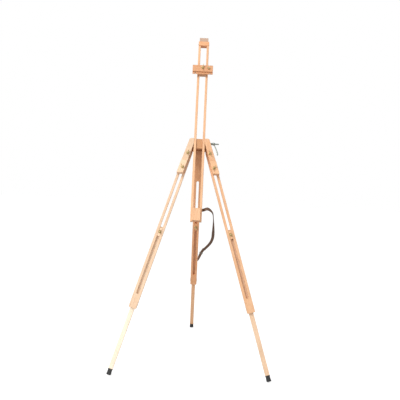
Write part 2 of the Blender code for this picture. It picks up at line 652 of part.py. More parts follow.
# ---- Mast -----------------------------------------------------------------------------------------------
def rail(side, name):
    """One rail of the mast, slotted from side to side for the clamp bolt."""
    half = RAIL_DEPTH / 2
    outline = [(half, MAST_ABOVE_BOLT), (-half, MAST_ABOVE_BOLT), (-half, -MAST_BELOW_BOLT),
               (half, -MAST_BELOW_BOLT)]
    slot_length = MAST_ABOVE_BOLT + MAST_BELOW_BOLT - 2 * RAIL_SLOT_END
    middle = (MAST_ABOVE_BOLT - MAST_BELOW_BOLT) / 2
    slot = stadium((0, middle), RAIL_SLOT_WIDTH, slot_length)
    mesh = plate_mesh(name, [outline, slot], RAIL_THICK, "YZ")
    piece = place(name, mesh, mast, (side * (RAIL_SPACING + RAIL_THICK) / 2, 0, 0))
    return ease_edges(piece)


rail(-1, "left_rail")
rail(1, "right_rail")
sleeve_length = 2 * MAST_HALF
sleeve = place("clamp_sleeve", rod_mesh("clamp_sleeve", SLEEVE_RADIUS, sleeve_length, "X", 24), mast,
               finish=STEEL)
cut(sleeve, rod_mesh("sleeve_bore", CLAMP_BOLT_RADIUS + BORE_CLEARANCE, 0.2, "X", 24))
saddle_size = (RAIL_SPACING - 2 * SLIDE_CLEARANCE, RAIL_DEPTH - SADDLE_RECESS, SADDLE_TOP + SADDLE_FOOT)
saddle = place("saddle_block", box_mesh("saddle_block", saddle_size), mast,
               (0, SADDLE_RECESS / 2, (SADDLE_TOP - SADDLE_FOOT) / 2))
cut(saddle, rod_mesh("saddle_bore", SLEEVE_RADIUS + BORE_CLEARANCE, 0.2, "X", 24))
ease_edges(saddle)
plank("top_block", mast, (2 * MAST_HALF, TOP_BLOCK_DEPTH, TOP_BLOCK_HEIGHT),
      (0, 0, MAST_ABOVE_BOLT + GAP + TOP_BLOCK_HEIGHT / 2))
plank("top_cap", mast, (TOP_CAP_WIDTH, TOP_CAP_DEPTH, TOP_CAP_HEIGHT),
      (0, 0, MAST_ABOVE_BOLT + 2 * GAP + TOP_BLOCK_HEIGHT + TOP_CAP_HEIGHT / 2))
bottom_middle = BOTTOM_BLOCK_RISE + BOTTOM_BLOCK_HEIGHT / 2 - MAST_BELOW_BOLT
plank("bottom_block", mast, (RAIL_SPACING - 2 * GAP, RAIL_DEPTH, BOTTOM_BLOCK_HEIGHT),
      (0, 0, bottom_middle))
plate_front = RAIL_DEPTH / 2 + GAP + BOTTOM_PLATE_THICK
plank("bottom_plate", mast, (BOTTOM_PLATE_WIDTH, BOTTOM_PLATE_THICK, BOTTOM_BLOCK_HEIGHT),
      (0, BOTTOM_PLATE_THICK / 2 - plate_front, bottom_middle))


# ---- Top canvas clamp -------------------------------------------------------------------------------------
def top_clamp():
    """Block on a plate that slides on the mast's front, with a hanging lip and a tongue between rails."""
    plate_back = -RAIL_DEPTH / 2 - GAP
    back = plate_back - CLAMP_PLATE_THICK - GAP
    face = back - CLAMP_BLOCK_THICK
    nut_height = CLAMP_RISE + CLAMP_NUT_RISE
    name = "clamp_plate"
    plate_size = (CLAMP_PLATE_WIDTH, CLAMP_PLATE_THICK, CLAMP_PLATE_HEIGHT)
    plate_middle = CLAMP_RISE - CLAMP_PLATE_BELOW + CLAMP_PLATE_HEIGHT / 2
    plate = place(name, box_mesh(name, plate_size), mast,
                  (0, plate_back - CLAMP_PLATE_THICK / 2, plate_middle))
    cut(plate, rod_mesh("clamp_plate_bore", BORE_RADIUS, 0.1, "Y", 16), (0, back, nut_height))
    ease_edges(plate, WOOD_EDGE / 2)
    block_size = (CLAMP_BLOCK_WIDTH, CLAMP_BLOCK_THICK, CLAMP_BLOCK_HEIGHT)
    block = place("clamp_block", box_mesh("clamp_block", block_size), mast,
                  (0, (back + face) / 2, CLAMP_RISE))
    cut(block, rod_mesh("clamp_block_bore", BORE_RADIUS, 0.1, "Y", 16), (0, face, nut_height))
    knob_depth = CLAMP_BLOCK_THICK * 0.6
    knob_bore = rod_mesh("knob_bore", BORE_RADIUS, 2 * knob_depth, "Y", 16)
    cut(block, knob_bore, (KNOB_OFFSET, face, CLAMP_RISE))
    ease_edges(block)
    lip_top = CLAMP_RISE - CLAMP_BLOCK_HEIGHT / 2 - GAP
    lip_front = face + CLAMP_LIP_SETBACK
    plank("clamp_lip", mast, (CLAMP_LIP_WIDTH, CLAMP_LIP_THICK, CLAMP_LIP_HEIGHT),
          (0, lip_front + CLAMP_LIP_THICK / 2, lip_top - CLAMP_LIP_HEIGHT / 2))
    name = "clamp_tongue"
    tongue_size = (RAIL_SPACING - 2 * SLIDE_CLEARANCE, RAIL_DEPTH, CLAMP_TONGUE_HEIGHT)
    tongue_middle = CLAMP_RISE - CLAMP_TONGUE_BELOW + CLAMP_TONGUE_HEIGHT / 2
    tongue = place(name, box_mesh(name, tongue_size), mast, (0, 0, tongue_middle))
    cut(tongue, rod_mesh("clamp_tongue_bore", BORE_RADIUS, 0.1, "Y", 16), (0, 0, nut_height))
    ease_edges(tongue)
    seat = -face + GAP
    bolt("top_clamp_bolt", mast, (0, 0, nut_height), seat + NUT_HEIGHT + BOLT_PROUD,
         RAIL_DEPTH / 2 + GAP)
    wing_nut("clamp_wing_nut", mast, (0, -seat, nut_height), math.radians(104))
    stem = knob_depth - 0.002
    profile = [(0, seat + KNOB_LENGTH), (KNOB_RADIUS * 0.8, seat + KNOB_LENGTH),
               (KNOB_RADIUS, seat + KNOB_LENGTH * 0.8), (KNOB_RADIUS, seat),
               (BOLT_RADIUS, seat), (BOLT_RADIUS, seat - stem), (0, seat - stem)]
    place("clamp_knob", turned_mesh("clamp_knob", profile, "Y", 24), mast,
          (KNOB_OFFSET, 0, CLAMP_RISE), finish=STEEL)


top_clamp()


# ---- Strap ----------------------------------------------------------------------------------------
def smooth_route(points, count):
    """Evenly counted points on a Catmull-Rom curve through the given points."""
    padded = [2 * points[0] - points[1]] + points + [2 * points[-1] - points[-2]]
    spans = len(points) - 1
    route = []
    for step in range(count + 1):
        place_on = min(step * spans / count, spans - 1e-9)
        index = int(place_on)
        part = place_on - index
        before, first, last, after = padded[index:index + 4]
        route.append(0.5 * ((2 * first) + (last - before) * part
                            + (2 * before - 5 * first + 4 * last - after) * part ** 2
                            + (3 * first - before - 3 * last + after) * part ** 3))
    return route


def strap_mesh(route, edges):
    """A flat band along the route, its width following the given edge directions."""
    bm = bmesh.new()
    rings = []
    for index, centre in enumerate(route):
        ahead = route[min(index + 1, len(route) - 1)] - route[max(index - 1, 0)]
        edge = edges[index]
        edge = (edge - ahead * (edge.dot(ahead) / ahead.length_squared)).normalized()
        face = ahead.cross(edge).normalized()
        corners = []
        for across, out in ((1, 1), (-1, 1), (-1, -1), (1, -1)):
            corners.append(bm.verts.new(centre + edge * across * STRAP_WIDTH / 2
                                        + face * out * STRAP_THICK / 2))
        rings.append(corners)
    for first, last in zip(rings, rings[1:]):
        for step in range(4):
            after = (step + 1) % 4
            bm.faces.new((first[step], first[after], last[after], last[step]))
    bm.faces.new(rings[0])
    bm.faces.new(list(reversed(rings[-1])))
    return finish_mesh(bm, "back_strap")


bpy.context.view_layer.update()
rail_back = RAIL_DEPTH / 2 + STRAP_STANDOFF + STRAP_THICK / 2
strap_start = mast.matrix_world @ Vector((RAIL_SPACING / 4, rail_back, -STRAP_MAST_DROP))
strap_turn = mast.matrix_world @ Vector((MAST_HALF + STRAP_OVERHANG, rail_back, -STRAP_MAST_DROP))
leg_side = REAR_BOARD_WIDTH / 2 + STRAP_STANDOFF + STRAP_THICK / 2
strap_end = rear.matrix_world @ Vector((leg_side, 0, -STRAP_REAR_DROP))
strap_seat = rear.matrix_world @ Vector((leg_side, 0, STRAP_SEAT - STRAP_REAR_DROP))
hanging = [(0.054, -0.112, 0.832), (0.069, -0.102, 0.827), (0.083, -0.085, 0.813),
           (0.089, -0.060, 0.795), (0.093, -0.020, 0.758), (0.096, 0.035, 0.704),
           (0.096, 0.090, 0.662), (0.086, 0.145, 0.627), (0.066, 0.200, 0.594), (0.043, 0.255, 0.562)]
chosen = [strap_start, strap_turn] + [Vector(spot) for spot in hanging] + [strap_seat, strap_end]
route = smooth_route(chosen, STRAP_SECTIONS)
for spot in route[len(route) // 2:]:
    spot.x = max(spot.x, strap_end.x)
mast_up = mast.matrix_world.to_3x3() @ Vector((0, 0, 1))
leg_up = rear.matrix_world.to_3x3() @ Vector((0, 0, 1))
edge_on = Vector((0.10, 0.90, 0.40))
face_on = Vector((0.80, 0.30, -0.50))
turns = [(0.00, mast_up), (0.18, mast_up), (0.32, edge_on), (0.42, edge_on),
         (0.62, face_on), (0.84, face_on), (0.92, -leg_up), (1.00, -leg_up)]


def edge_at(share):
    """Direction of the strap's width at a share of its length."""
    for (start, first), (end, last) in zip(turns, turns[1:]):
        if share <= end:
            return first.lerp(last, (share - start) / (end - start))
    return turns[-1][1]


edges = [edge_at(step / STRAP_SECTIONS) for step in range(STRAP_SECTIONS + 1)]
strap = place("back_strap", strap_mesh(route, edges), easel_frame, finish=LEATHER)

# ---- Origin at the middle of the footprint, on the floor ------------------------------------------
bpy.context.view_layer.update()
graph = bpy.context.evaluated_depsgraph_get()
low = Vector((1e9, 1e9, 1e9))
high = -low
for piece in EASEL.objects:
    if piece.type != "MESH":
        continue
    shape = piece.evaluated_get(graph).to_mesh()
    for vertex in shape.vertices:
        spot = piece.matrix_world @ vertex.co
        low = Vector(map(min, low, spot))
        high = Vector(map(max, high, spot))
easel_frame.location = (-(low.x + high.x) / 2, -(low.y + high.y) / 2, -low.z)
bpy.context.view_layer.update()
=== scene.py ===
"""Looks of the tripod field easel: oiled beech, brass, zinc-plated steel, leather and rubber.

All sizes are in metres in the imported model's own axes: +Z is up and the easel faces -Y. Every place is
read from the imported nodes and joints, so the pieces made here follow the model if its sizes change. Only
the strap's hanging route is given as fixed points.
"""
from __future__ import annotations

import json
import logging
import math
from collections.abc import Callable, Sequence
from dataclasses import dataclass, field
from enum import Enum

import bmesh
import bpy
from mathutils import Matrix, Vector

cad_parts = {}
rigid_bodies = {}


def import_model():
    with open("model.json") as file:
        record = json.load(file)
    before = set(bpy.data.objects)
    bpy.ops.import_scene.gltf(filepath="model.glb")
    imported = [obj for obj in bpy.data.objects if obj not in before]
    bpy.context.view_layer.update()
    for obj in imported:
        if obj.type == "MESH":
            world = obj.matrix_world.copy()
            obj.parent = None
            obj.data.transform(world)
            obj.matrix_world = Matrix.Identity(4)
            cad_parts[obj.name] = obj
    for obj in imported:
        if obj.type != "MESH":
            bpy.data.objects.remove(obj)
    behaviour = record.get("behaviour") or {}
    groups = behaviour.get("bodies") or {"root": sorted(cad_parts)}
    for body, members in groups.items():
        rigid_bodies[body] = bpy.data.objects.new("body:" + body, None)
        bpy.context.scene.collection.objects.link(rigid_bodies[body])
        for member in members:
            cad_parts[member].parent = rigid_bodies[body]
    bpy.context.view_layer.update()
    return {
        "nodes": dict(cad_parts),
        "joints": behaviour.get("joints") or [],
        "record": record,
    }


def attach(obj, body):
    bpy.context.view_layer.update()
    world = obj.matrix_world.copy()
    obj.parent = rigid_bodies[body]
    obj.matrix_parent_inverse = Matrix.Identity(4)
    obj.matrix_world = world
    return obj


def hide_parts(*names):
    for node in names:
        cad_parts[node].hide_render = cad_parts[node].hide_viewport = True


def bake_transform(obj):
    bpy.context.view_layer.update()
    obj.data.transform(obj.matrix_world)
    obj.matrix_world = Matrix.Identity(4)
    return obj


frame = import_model()

LOG = logging.getLogger("field_easel")
JOINTS = {joint["name"]: joint for joint in frame["joints"]}
NODE_BODY = {node: body for body, nodes in frame["record"]["behaviour"]["bodies"].items() for node in nodes}

Colour = tuple[float, float, float]


# ---- Axes of the assemblies --------------------------------------------------------------------------
@dataclass(frozen=True)
class Axes:
    """Directions of one assembly: right, back and up, from an origin on its joint."""

    origin: Vector
    right: Vector
    back: Vector
    up: Vector

    @classmethod
    def from_joints(cls, origin: str, up: str, front: str) -> Axes:
        """Read an assembly's axes from its joints.

        Args:
            origin: Joint whose position is the origin.
            up: Joint that slides along the assembly.
            front: Joint that turns about the assembly's forward direction.

        Returns:
            The right-handed axes.
        """
        up_axis = Vector(JOINTS[up]["axis"]).normalized()
        back = -Vector(JOINTS[front]["axis"]).normalized()
        return cls(Vector(JOINTS[origin]["pos_m"]), back.cross(up_axis).normalized(), back, up_axis)

    def at(self, right: float = 0.0, back: float = 0.0, up: float = 0.0) -> Vector:
        """The point that lies that far along the three directions."""
        return self.origin + self.right * right + self.back * back + self.up * up

    def turn(self) -> Matrix:
        """Rotation that takes X, Y and Z to right, back and up."""
        return Matrix((self.right, self.back, self.up)).transposed()

    def matrix(self, place: Vector) -> Matrix:
        """Placement of a mesh made in these axes, with its origin at a point."""
        return Matrix.Translation(place) @ self.turn().to_4x4()

    def span(self, node: str) -> tuple[Vector, Vector]:
        """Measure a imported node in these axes.

        Args:
            node: Name of the node.

        Returns:
            The node's lowest and highest corner, as offsets from the origin.
        """
        inverse = self.turn().transposed()
        points = [inverse @ (vertex.co - self.origin) for vertex in frame["nodes"][node].data.vertices]
        low = Vector(min(point[axis] for point in points) for axis in range(3))
        high = Vector(max(point[axis] for point in points) for axis in range(3))
        return low, high


class Grain(Enum):
    """The way the grain of a wooden piece runs."""

    UPRIGHT = "upright"
    CROSSWISE = "crosswise"


# ---- Shader helpers ----------------------------------------------------------------------------------
class NodeDesk:
    """Places and links the nodes of one material or node group."""

    def __init__(self, tree: bpy.types.NodeTree) -> None:
        """Work on a node tree."""
        self.tree = tree

    def add(self, kind: str, inputs: dict | None = None, **settings: object) -> bpy.types.Node:
        """Add a node.

        Args:
            kind: Blender's name for the node type.
            inputs: Values or sockets for the node's inputs, by name or index.
            settings: Properties of the node.

        Returns:
            The new node.
        """
        node = self.tree.nodes.new(kind)
        for key, value in settings.items():
            setattr(node, key, value)
        for key, value in (inputs or {}).items():
            self.feed(node.inputs[key], value)
        return node

    def feed(self, socket: bpy.types.NodeSocket, value: object) -> None:
        """Link a socket to another one, or set its value.

        Args:
            socket: The input socket.
            value: Value or output socket.
        """
        if isinstance(value, bpy.types.NodeSocket):
            self.tree.links.new(value, socket)
        else:
            socket.default_value = value

    def math(self, operation: str, first: object, second: object = 0.0,
             clamp: bool = False) -> bpy.types.NodeSocket:
        """One arithmetic step.

        Args:
            operation: Blender's name for the operation.
            first: First value or socket.
            second: Second value or socket.
            clamp: Whether the result is kept between 0 and 1.

        Returns:
            The socket with the result.
        """
        node = self.add("ShaderNodeMath", {0: first, 1: second}, operation=operation, use_clamp=clamp)
        return node.outputs[0]

    def mix(self, factor: object, first: object, second: object, blend: str = "MIX") -> bpy.types.NodeSocket:
        """Mix two colours.

        Args:
            factor: Share of the second colour.
            first: First colour or socket.
            second: Second colour or socket.
            blend: Blender's name for the way of mixing.

        Returns:
            The socket with the mixed colour.
        """
        node = self.add("ShaderNodeMix", data_type="RGBA", blend_type=blend)
        self.feed(node.inputs[0], factor)
        self.feed(node.inputs[6], first)
        self.feed(node.inputs[7], second)
        return node.outputs[2]

    def noise(self, vector: object, scale: object, detail: float = 2.0,
              rough: float = 0.5) -> bpy.types.NodeSocket:
        """Smooth noise between 0 and 1 at a scale of features per metre."""
        inputs = {"Vector": vector, "Scale": scale, "Detail": detail, "Roughness": rough}
        return self.add("ShaderNodeTexNoise", inputs).outputs["Fac"]

    def stretch(self, vector: object, across: float, along: float) -> bpy.types.NodeSocket:
        """Scale a position across and along the grain."""
        node = self.add("ShaderNodeMapping", {"Vector": vector, "Scale": (across, across, along)})
        return node.outputs[0]

    def window(self, value: object, low: float, high: float) -> bpy.types.NodeSocket:
        """Smooth step of a value.

        Args:
            value: Value or socket.
            low: Value that gives 0.
            high: Value that gives 1.

        Returns:
            The socket with the result.
        """
        inputs = {"Value": value, "From Min": low, "From Max": high}
        node = self.add("ShaderNodeMapRange", inputs, interpolation_type="SMOOTHSTEP")
        return node.outputs[0]


def shader_group(name: str, inputs: dict[str, object], outputs: dict[str, str],
                 fill: Callable[[NodeDesk, dict, dict], None]) -> bpy.types.NodeTree:
    """Make a shader node group, or return the one made before.

    Args:
        name: The group's name.
        inputs: Input names with their default values; a 4-tuple is a colour, None a vector.
        outputs: Output names with "color" or "float".
        fill: Builds the group from the desk, its input sockets and its output sockets.

    Returns:
        The node group.
    """
    made = bpy.data.node_groups.get(name)
    if made is not None:
        return made
    tree = bpy.data.node_groups.new(name, "ShaderNodeTree")
    for label, value in inputs.items():
        kind = "Vector" if value is None else "Color" if isinstance(value, tuple) else "Float"
        socket = tree.interface.new_socket(label, in_out="INPUT", socket_type=f"NodeSocket{kind}")
        if value is not None:
            socket.default_value = value
    for label, kind in outputs.items():
        tree.interface.new_socket(label, in_out="OUTPUT", socket_type=f"NodeSocket{kind.capitalize()}")
    desk = NodeDesk(tree)
    start = desk.add("NodeGroupInput")
    end = desk.add("NodeGroupOutput")
    fill(desk, start.outputs, end.inputs)
    return tree


def beech_grain_group() -> bpy.types.NodeTree:
    """Growth bands, fibres and the short brown flecks of beech, with Z along the grain.

    Returns:
        The node group.
    """

    def fill(desk: NodeDesk, given: dict, out: dict) -> None:
        """Build the pattern from wide bands down to fine fibres.

        Args:
            desk: Desk for the group's tree.
            given: The group's input sockets.
            out: The group's output sockets.
        """
        sway = desk.noise(desk.stretch(given["Vector"], 9.0, 2.0), 1.0, 1.0)
        position = desk.add("ShaderNodeVectorMath", {0: given["Vector"]}, operation="SCALE")
        desk.feed(position.inputs["Scale"], desk.math("ADD", 1.0, desk.math("MULTIPLY", sway, 0.05)))
        bent = position.outputs[0]
        bands = desk.noise(desk.stretch(bent, 95.0, 2.2), 1.0, 2.0)
        wave = desk.math("SINE", desk.math("MULTIPLY", bands, 34.0))
        rings = desk.math("ADD", desk.math("MULTIPLY", wave, 0.5), 0.5)
        tone = desk.noise(desk.stretch(bent, 16.0, 1.6), 1.0, 2.0)
        fibre = desk.noise(desk.stretch(bent, 1300.0, 16.0), 1.0, 3.0, 0.6)
        fleck_noise = desk.noise(desk.stretch(bent, 900.0, 150.0), 1.0, 1.0)
        fleck = desk.window(fleck_noise, 0.60, 0.72)
        warmth = desk.math("MULTIPLY", rings, given["Bands"])
        warmth = desk.math("ADD", warmth, desk.math("MULTIPLY", desk.math("SUBTRACT", tone, 0.5), 1.1), True)
        colour = desk.mix(warmth, given["Pale"], given["Warm"])
        colour = desk.mix(desk.math("MULTIPLY", desk.window(fibre, 0.45, 0.75), 0.30), colour, given["Brown"])
        colour = desk.mix(desk.math("MULTIPLY", fleck, given["Flecks"]), colour, given["Brown"])
        desk.feed(out["Color"], colour)
        desk.feed(out["Roughness"], desk.math("ADD", 0.40, desk.math("MULTIPLY", fibre, 0.22)))
        height = desk.math("SUBTRACT", desk.math("MULTIPLY", fibre, 0.8), desk.math("MULTIPLY", fleck, 0.5))
        desk.feed(out["Height"], desk.math("ADD", height, desk.math("MULTIPLY", rings, 0.25)))

    brown = (0.30, 0.13, 0.05, 1.0)
    inputs = {"Vector": None, "Pale": (0.8, 0.6, 0.4, 1.0), "Warm": (0.7, 0.4, 0.2, 1.0), "Brown": brown,
              "Bands": 0.5, "Flecks": 0.4}
    outputs = {"Color": "color", "Roughness": "float", "Height": "float"}
    return shader_group("beech_grain", inputs, outputs, fill)


def edge_wear_group() -> bpy.types.NodeTree:
    """Mask of the edges that hands and bundling rub, broken up by noise.

    Returns:
        The node group.
    """

    def fill(desk: NodeDesk, given: dict, out: dict) -> None:
        """Compare the rounded normal with the true one.

        Args:
            desk: Desk for the group's tree.
            given: The group's input sockets.
            out: The group's output sockets.
        """
        rounded = desk.add("ShaderNodeBevel", {"Radius": given["Radius"]}, samples=4)
        flat = desk.add("ShaderNodeNewGeometry")
        facing = desk.add("ShaderNodeVectorMath", {0: rounded.outputs[0], 1: flat.outputs["Normal"]},
                          operation="DOT_PRODUCT")
        edge = desk.window(desk.math("SUBTRACT", 1.0, facing.outputs["Value"]), 0.01, 0.16)
        patchy = desk.window(desk.noise(given["Vector"], 170.0, 4.0, 0.6), 0.36, 0.62)
        desk.feed(out["Mask"], desk.math("MULTIPLY", edge, patchy, True))

    return shader_group("edge_wear", {"Vector": None, "Radius": 0.001}, {"Mask": "float"}, fill)


def handling_group() -> bpy.types.NodeTree:
    """Soft blotches left by hands and dust.

    Returns:
        The node group.
    """

    def fill(desk: NodeDesk, given: dict, out: dict) -> None:
        """Overlay wide and fine smudges.

        Args:
            desk: Desk for the group's tree.
            given: The group's input sockets.
            out: The group's output sockets.
        """
        wide = desk.window(desk.noise(given["Vector"], given["Scale"], 3.0, 0.55), 0.42, 0.68)
        fine = desk.noise(given["Vector"], desk.math("MULTIPLY", given["Scale"], 9.0), 4.0, 0.65)
        mixed = desk.math("MULTIPLY", wide, desk.math("ADD", 0.55, desk.math("MULTIPLY", fine, 0.9)), True)
        desk.feed(out["Mask"], mixed)

    return shader_group("handling", {"Vector": None, "Scale": 12.0}, {"Mask": "float"}, fill)


def surface_tooth_group() -> bpy.types.NodeTree:
    """Fine pits and scratches of cast, plated or moulded surfaces.

    Returns:
        The node group.
    """

    def fill(desk: NodeDesk, given: dict, out: dict) -> None:
        """Mix round pits with long scratches.

        Args:
            desk: Desk for the group's tree.
            given: The group's input sockets.
            out: The group's output sockets.
        """
        pits = desk.noise(given["Vector"], given["Pit Scale"], 3.0, 0.6)
        lines = desk.noise(desk.stretch(given["Vector"], 1900.0, 55.0), 1.0, 2.0)
        scratches = desk.math("MULTIPLY", desk.window(lines, 0.60, 0.70), given["Scratches"])
        desk.feed(out["Height"], desk.math("SUBTRACT", pits, scratches))
        desk.feed(out["Scratches"], scratches)

    inputs = {"Vector": None, "Pit Scale": 900.0, "Scratches": 0.5}
    return shader_group("surface_tooth", inputs, {"Height": "float", "Scratches": "float"}, fill)


class FinishBench:
    """A new Principled material with its object-space position and the shared groups at hand."""

    def __init__(self, name: str, turn: Matrix | None = None,
                 shift: Sequence[float] = (0.0, 0.0, 0.0)) -> None:
        """Start a material.

        Args:
            name: The material's name.
            turn: Rotation from the grain's own axes to the model's.
            shift: Offset of the pattern, so that two pieces don't look the same.
        """
        self.material = bpy.data.materials.new(name)
        self.material.use_nodes = True
        self.desk = NodeDesk(self.material.node_tree)
        self.shader = self.material.node_tree.nodes["Principled BSDF"]
        place = self.desk.add("ShaderNodeTexCoord").outputs["Object"]
        angles = turn.transposed().to_euler() if turn else (0.0, 0.0, 0.0)
        inputs = {"Vector": place, "Rotation": tuple(angles), "Location": tuple(shift)}
        self.vector = self.desk.add("ShaderNodeMapping", inputs).outputs[0]

    def group(self, tree: bpy.types.NodeTree, **inputs: object) -> dict:
        """Place a shared group.

        Args:
            tree: The group.
            inputs: Values for its sockets, named with underscores.

        Returns:
            Its outputs.
        """
        node = self.desk.add("ShaderNodeGroup", node_tree=tree)
        self.desk.feed(node.inputs["Vector"], self.vector)
        for label, value in inputs.items():
            self.desk.feed(node.inputs[label.replace("_", " ")], value)
        return node.outputs

    def wear(self, radius: float) -> bpy.types.NodeSocket:
        """Mask of the rubbed edges."""
        return self.group(edge_wear_group(), Radius=radius)["Mask"]

    def handling(self, scale: float) -> bpy.types.NodeSocket:
        """Mask of smudges."""
        return self.group(handling_group(), Scale=scale)["Mask"]

    def bump(self, height: object, strength: float, distance: float, edge: float = 0.0) -> None:
        """Raise the surface by a height, with the piece's own edges softened.

        Args:
            height: Socket with the height.
            strength: Strength of the relief.
            distance: Depth of the relief.
            edge: Radius to which sharp edges look rounded, 0 for none.
        """
        node = self.desk.add("ShaderNodeBump", {"Height": height, "Strength": strength, "Distance": distance})
        if edge > 0:
            rounded = self.desk.add("ShaderNodeBevel", {"Radius": edge}, samples=4)
            self.desk.feed(node.inputs["Normal"], rounded.outputs[0])
        self.desk.feed(self.shader.inputs["Normal"], node.outputs[0])

    def set(self, **inputs: object) -> bpy.types.Material:
        """Set the shader's sockets.

        Args:
            inputs: Values for the sockets, named with underscores.

        Returns:
            The material.
        """
        for label, value in inputs.items():
            self.desk.feed(self.shader.inputs[label.replace("_", " ")], value)
        return self.material


# ---- Finishes ----------------------------------------------------------------------------------------
@dataclass(frozen=True)
class Beech:
    """Oiled beech: pale to warm bands, brown flecks, softened edges that handling has greyed."""

    name: str = "beech"
    pale: Colour = (0.83, 0.50, 0.285)
    warm: Colour = (0.74, 0.36, 0.165)
    brown: Colour = (0.36, 0.15, 0.055)
    soil: Colour = (0.30, 0.17, 0.09)
    bands: float = 0.42
    flecks: float = 0.40
    coat: float = 0.14
    slot: str = "beech"

    def material(self, piece: str, axes: Axes, grain: Grain) -> bpy.types.Material:
        """Make the wood of one piece.

        Args:
            piece: Name of the piece, which also sets where in the timber it was cut.
            axes: Axes of the piece's assembly.
            grain: The way the grain runs.

        Returns:
            The material.
        """
        turn = axes.turn()
        if grain is Grain.CROSSWISE:
            turn = turn @ Matrix.Rotation(math.pi / 2, 3, "Y")
        cut = sum(ord(letter) * (place + 1) for place, letter in enumerate(piece))
        shift = (cut % 17 * 0.31, cut % 23 * 0.27, cut % 29 * 0.19)
        bench = FinishBench(f"{self.name}_{piece}", turn, shift)
        desk = bench.desk
        own = 0.90 + 0.16 * (cut % 7) / 6
        grained = bench.group(beech_grain_group(), Pale=shade(self.pale, own), Warm=shade(self.warm, own),
                              Brown=shade(self.brown), Bands=self.bands, Flecks=self.flecks)
        smudge = bench.handling(9.0)
        worn = bench.wear(0.0016)
        colour = desk.mix(desk.math("MULTIPLY", smudge, 0.14), grained["Color"], shade(self.soil))
        colour = desk.mix(desk.math("MULTIPLY", worn, 0.16), colour, shade(self.soil))
        roughness = desk.math("ADD", grained["Roughness"], desk.math("MULTIPLY", smudge, 0.12))
        bench.bump(grained["Height"], 0.30, 0.00012, 0.0007)
        return bench.set(Base_Color=colour, Roughness=roughness, Coat_Weight=self.coat, Coat_Roughness=0.35)


@dataclass(frozen=True)
class Metal:
    """Brass, steel and wire: a dulled metal with brighter rubbed edges."""

    name: str
    clean: Colour
    dull: Colour
    roughness: float
    tarnish: float
    pits: float = 900.0
    scratches: float = 0.5
    slot: str = "steel"

    def material(self) -> bpy.types.Material:
        """Make the metal's material once.

        Returns:
            The material.
        """
        made = bpy.data.materials.get(self.name)
        if made is not None:
            return made
        bench = FinishBench(self.name)
        desk = bench.desk
        smudge = bench.handling(60.0)
        worn = bench.wear(0.0007)
        tooth = bench.group(surface_tooth_group(), Pit_Scale=self.pits, Scratches=self.scratches)
        dulled = desk.math("MULTIPLY", desk.math("SUBTRACT", smudge, worn, True), self.tarnish)
        colour = desk.mix(dulled, shade(self.clean), shade(self.dull))
        roughness = desk.math("ADD", self.roughness, desk.math("MULTIPLY", smudge, 0.18))
        roughness = desk.math("ADD", roughness, desk.math("MULTIPLY", tooth["Scratches"], 0.15))
        bench.bump(tooth["Height"], 0.25, 0.00006, 0.0003)
        return bench.set(Base_Color=colour, Metallic=1.0, Roughness=roughness)


@dataclass(frozen=True)
class Rubber:
    """Moulded rubber with a matt bloom and ground dust in patches and on its rubbed edges."""

    name: str = "rubber"
    black: Colour = (0.020, 0.020, 0.020)
    dust: Colour = (0.16, 0.145, 0.12)
    slot: str = "rubber"

    def material(self) -> bpy.types.Material:
        """Make the rubber's material once.

        Returns:
            The material.
        """
        made = bpy.data.materials.get(self.name)
        if made is not None:
            return made
        bench = FinishBench(self.name)
        desk = bench.desk
        smudge = bench.handling(45.0)
        worn = bench.wear(0.001)
        tooth = bench.group(surface_tooth_group(), Pit_Scale=1500.0, Scratches=0.2)
        dusty = desk.math("ADD", desk.math("MULTIPLY", smudge, 0.30), desk.math("MULTIPLY", worn, 0.35), True)
        colour = desk.mix(dusty, shade(self.black), shade(self.dust))
        bench.bump(tooth["Height"], 0.35, 0.00015)
        roughness = desk.math("ADD", 0.66, desk.math("MULTIPLY", smudge, 0.2))
        return bench.set(Base_Color=colour, Roughness=roughness)


@dataclass(frozen=True)
class Leather:
    """Waxed strap leather: pebbled grain, fine creases and edges burnished darker."""

    name: str = "leather"
    hide: Colour = (0.009, 0.006, 0.006)
    light: Colour = (0.022, 0.014, 0.012)
    edge: Colour = (0.005, 0.004, 0.004)
    slot: str = "leather"

    def material(self) -> bpy.types.Material:
        """Make the leather's material once.

        Returns:
            The material.
        """
        made = bpy.data.materials.get(self.name)
        if made is not None:
            return made
        bench = FinishBench(self.name)
        desk = bench.desk
        pebble = {"Vector": bench.vector, "Scale": 1150.0}
        cells = desk.add("ShaderNodeTexVoronoi", pebble, feature="SMOOTH_F1")
        creases = desk.noise(bench.vector, 420.0, 5.0, 0.65)
        pull = bench.handling(30.0)
        worn = bench.wear(0.0012)
        colour = desk.mix(desk.math("MULTIPLY", pull, 0.55), shade(self.hide), shade(self.light))
        colour = desk.mix(desk.window(creases, 0.58, 0.70), colour, shade(self.edge))
        colour = desk.mix(desk.math("MULTIPLY", worn, 0.8), colour, shade(self.edge))
        height = desk.math("SUBTRACT", creases, desk.math("MULTIPLY", cells.outputs["Distance"], 0.7))
        bench.bump(height, 0.5, 0.00025, 0.0004)
        roughness = desk.math("ADD", 0.42, desk.math("MULTIPLY", creases, 0.3))
        return bench.set(Base_Color=colour, Roughness=roughness, Specular_IOR_Level=0.25)


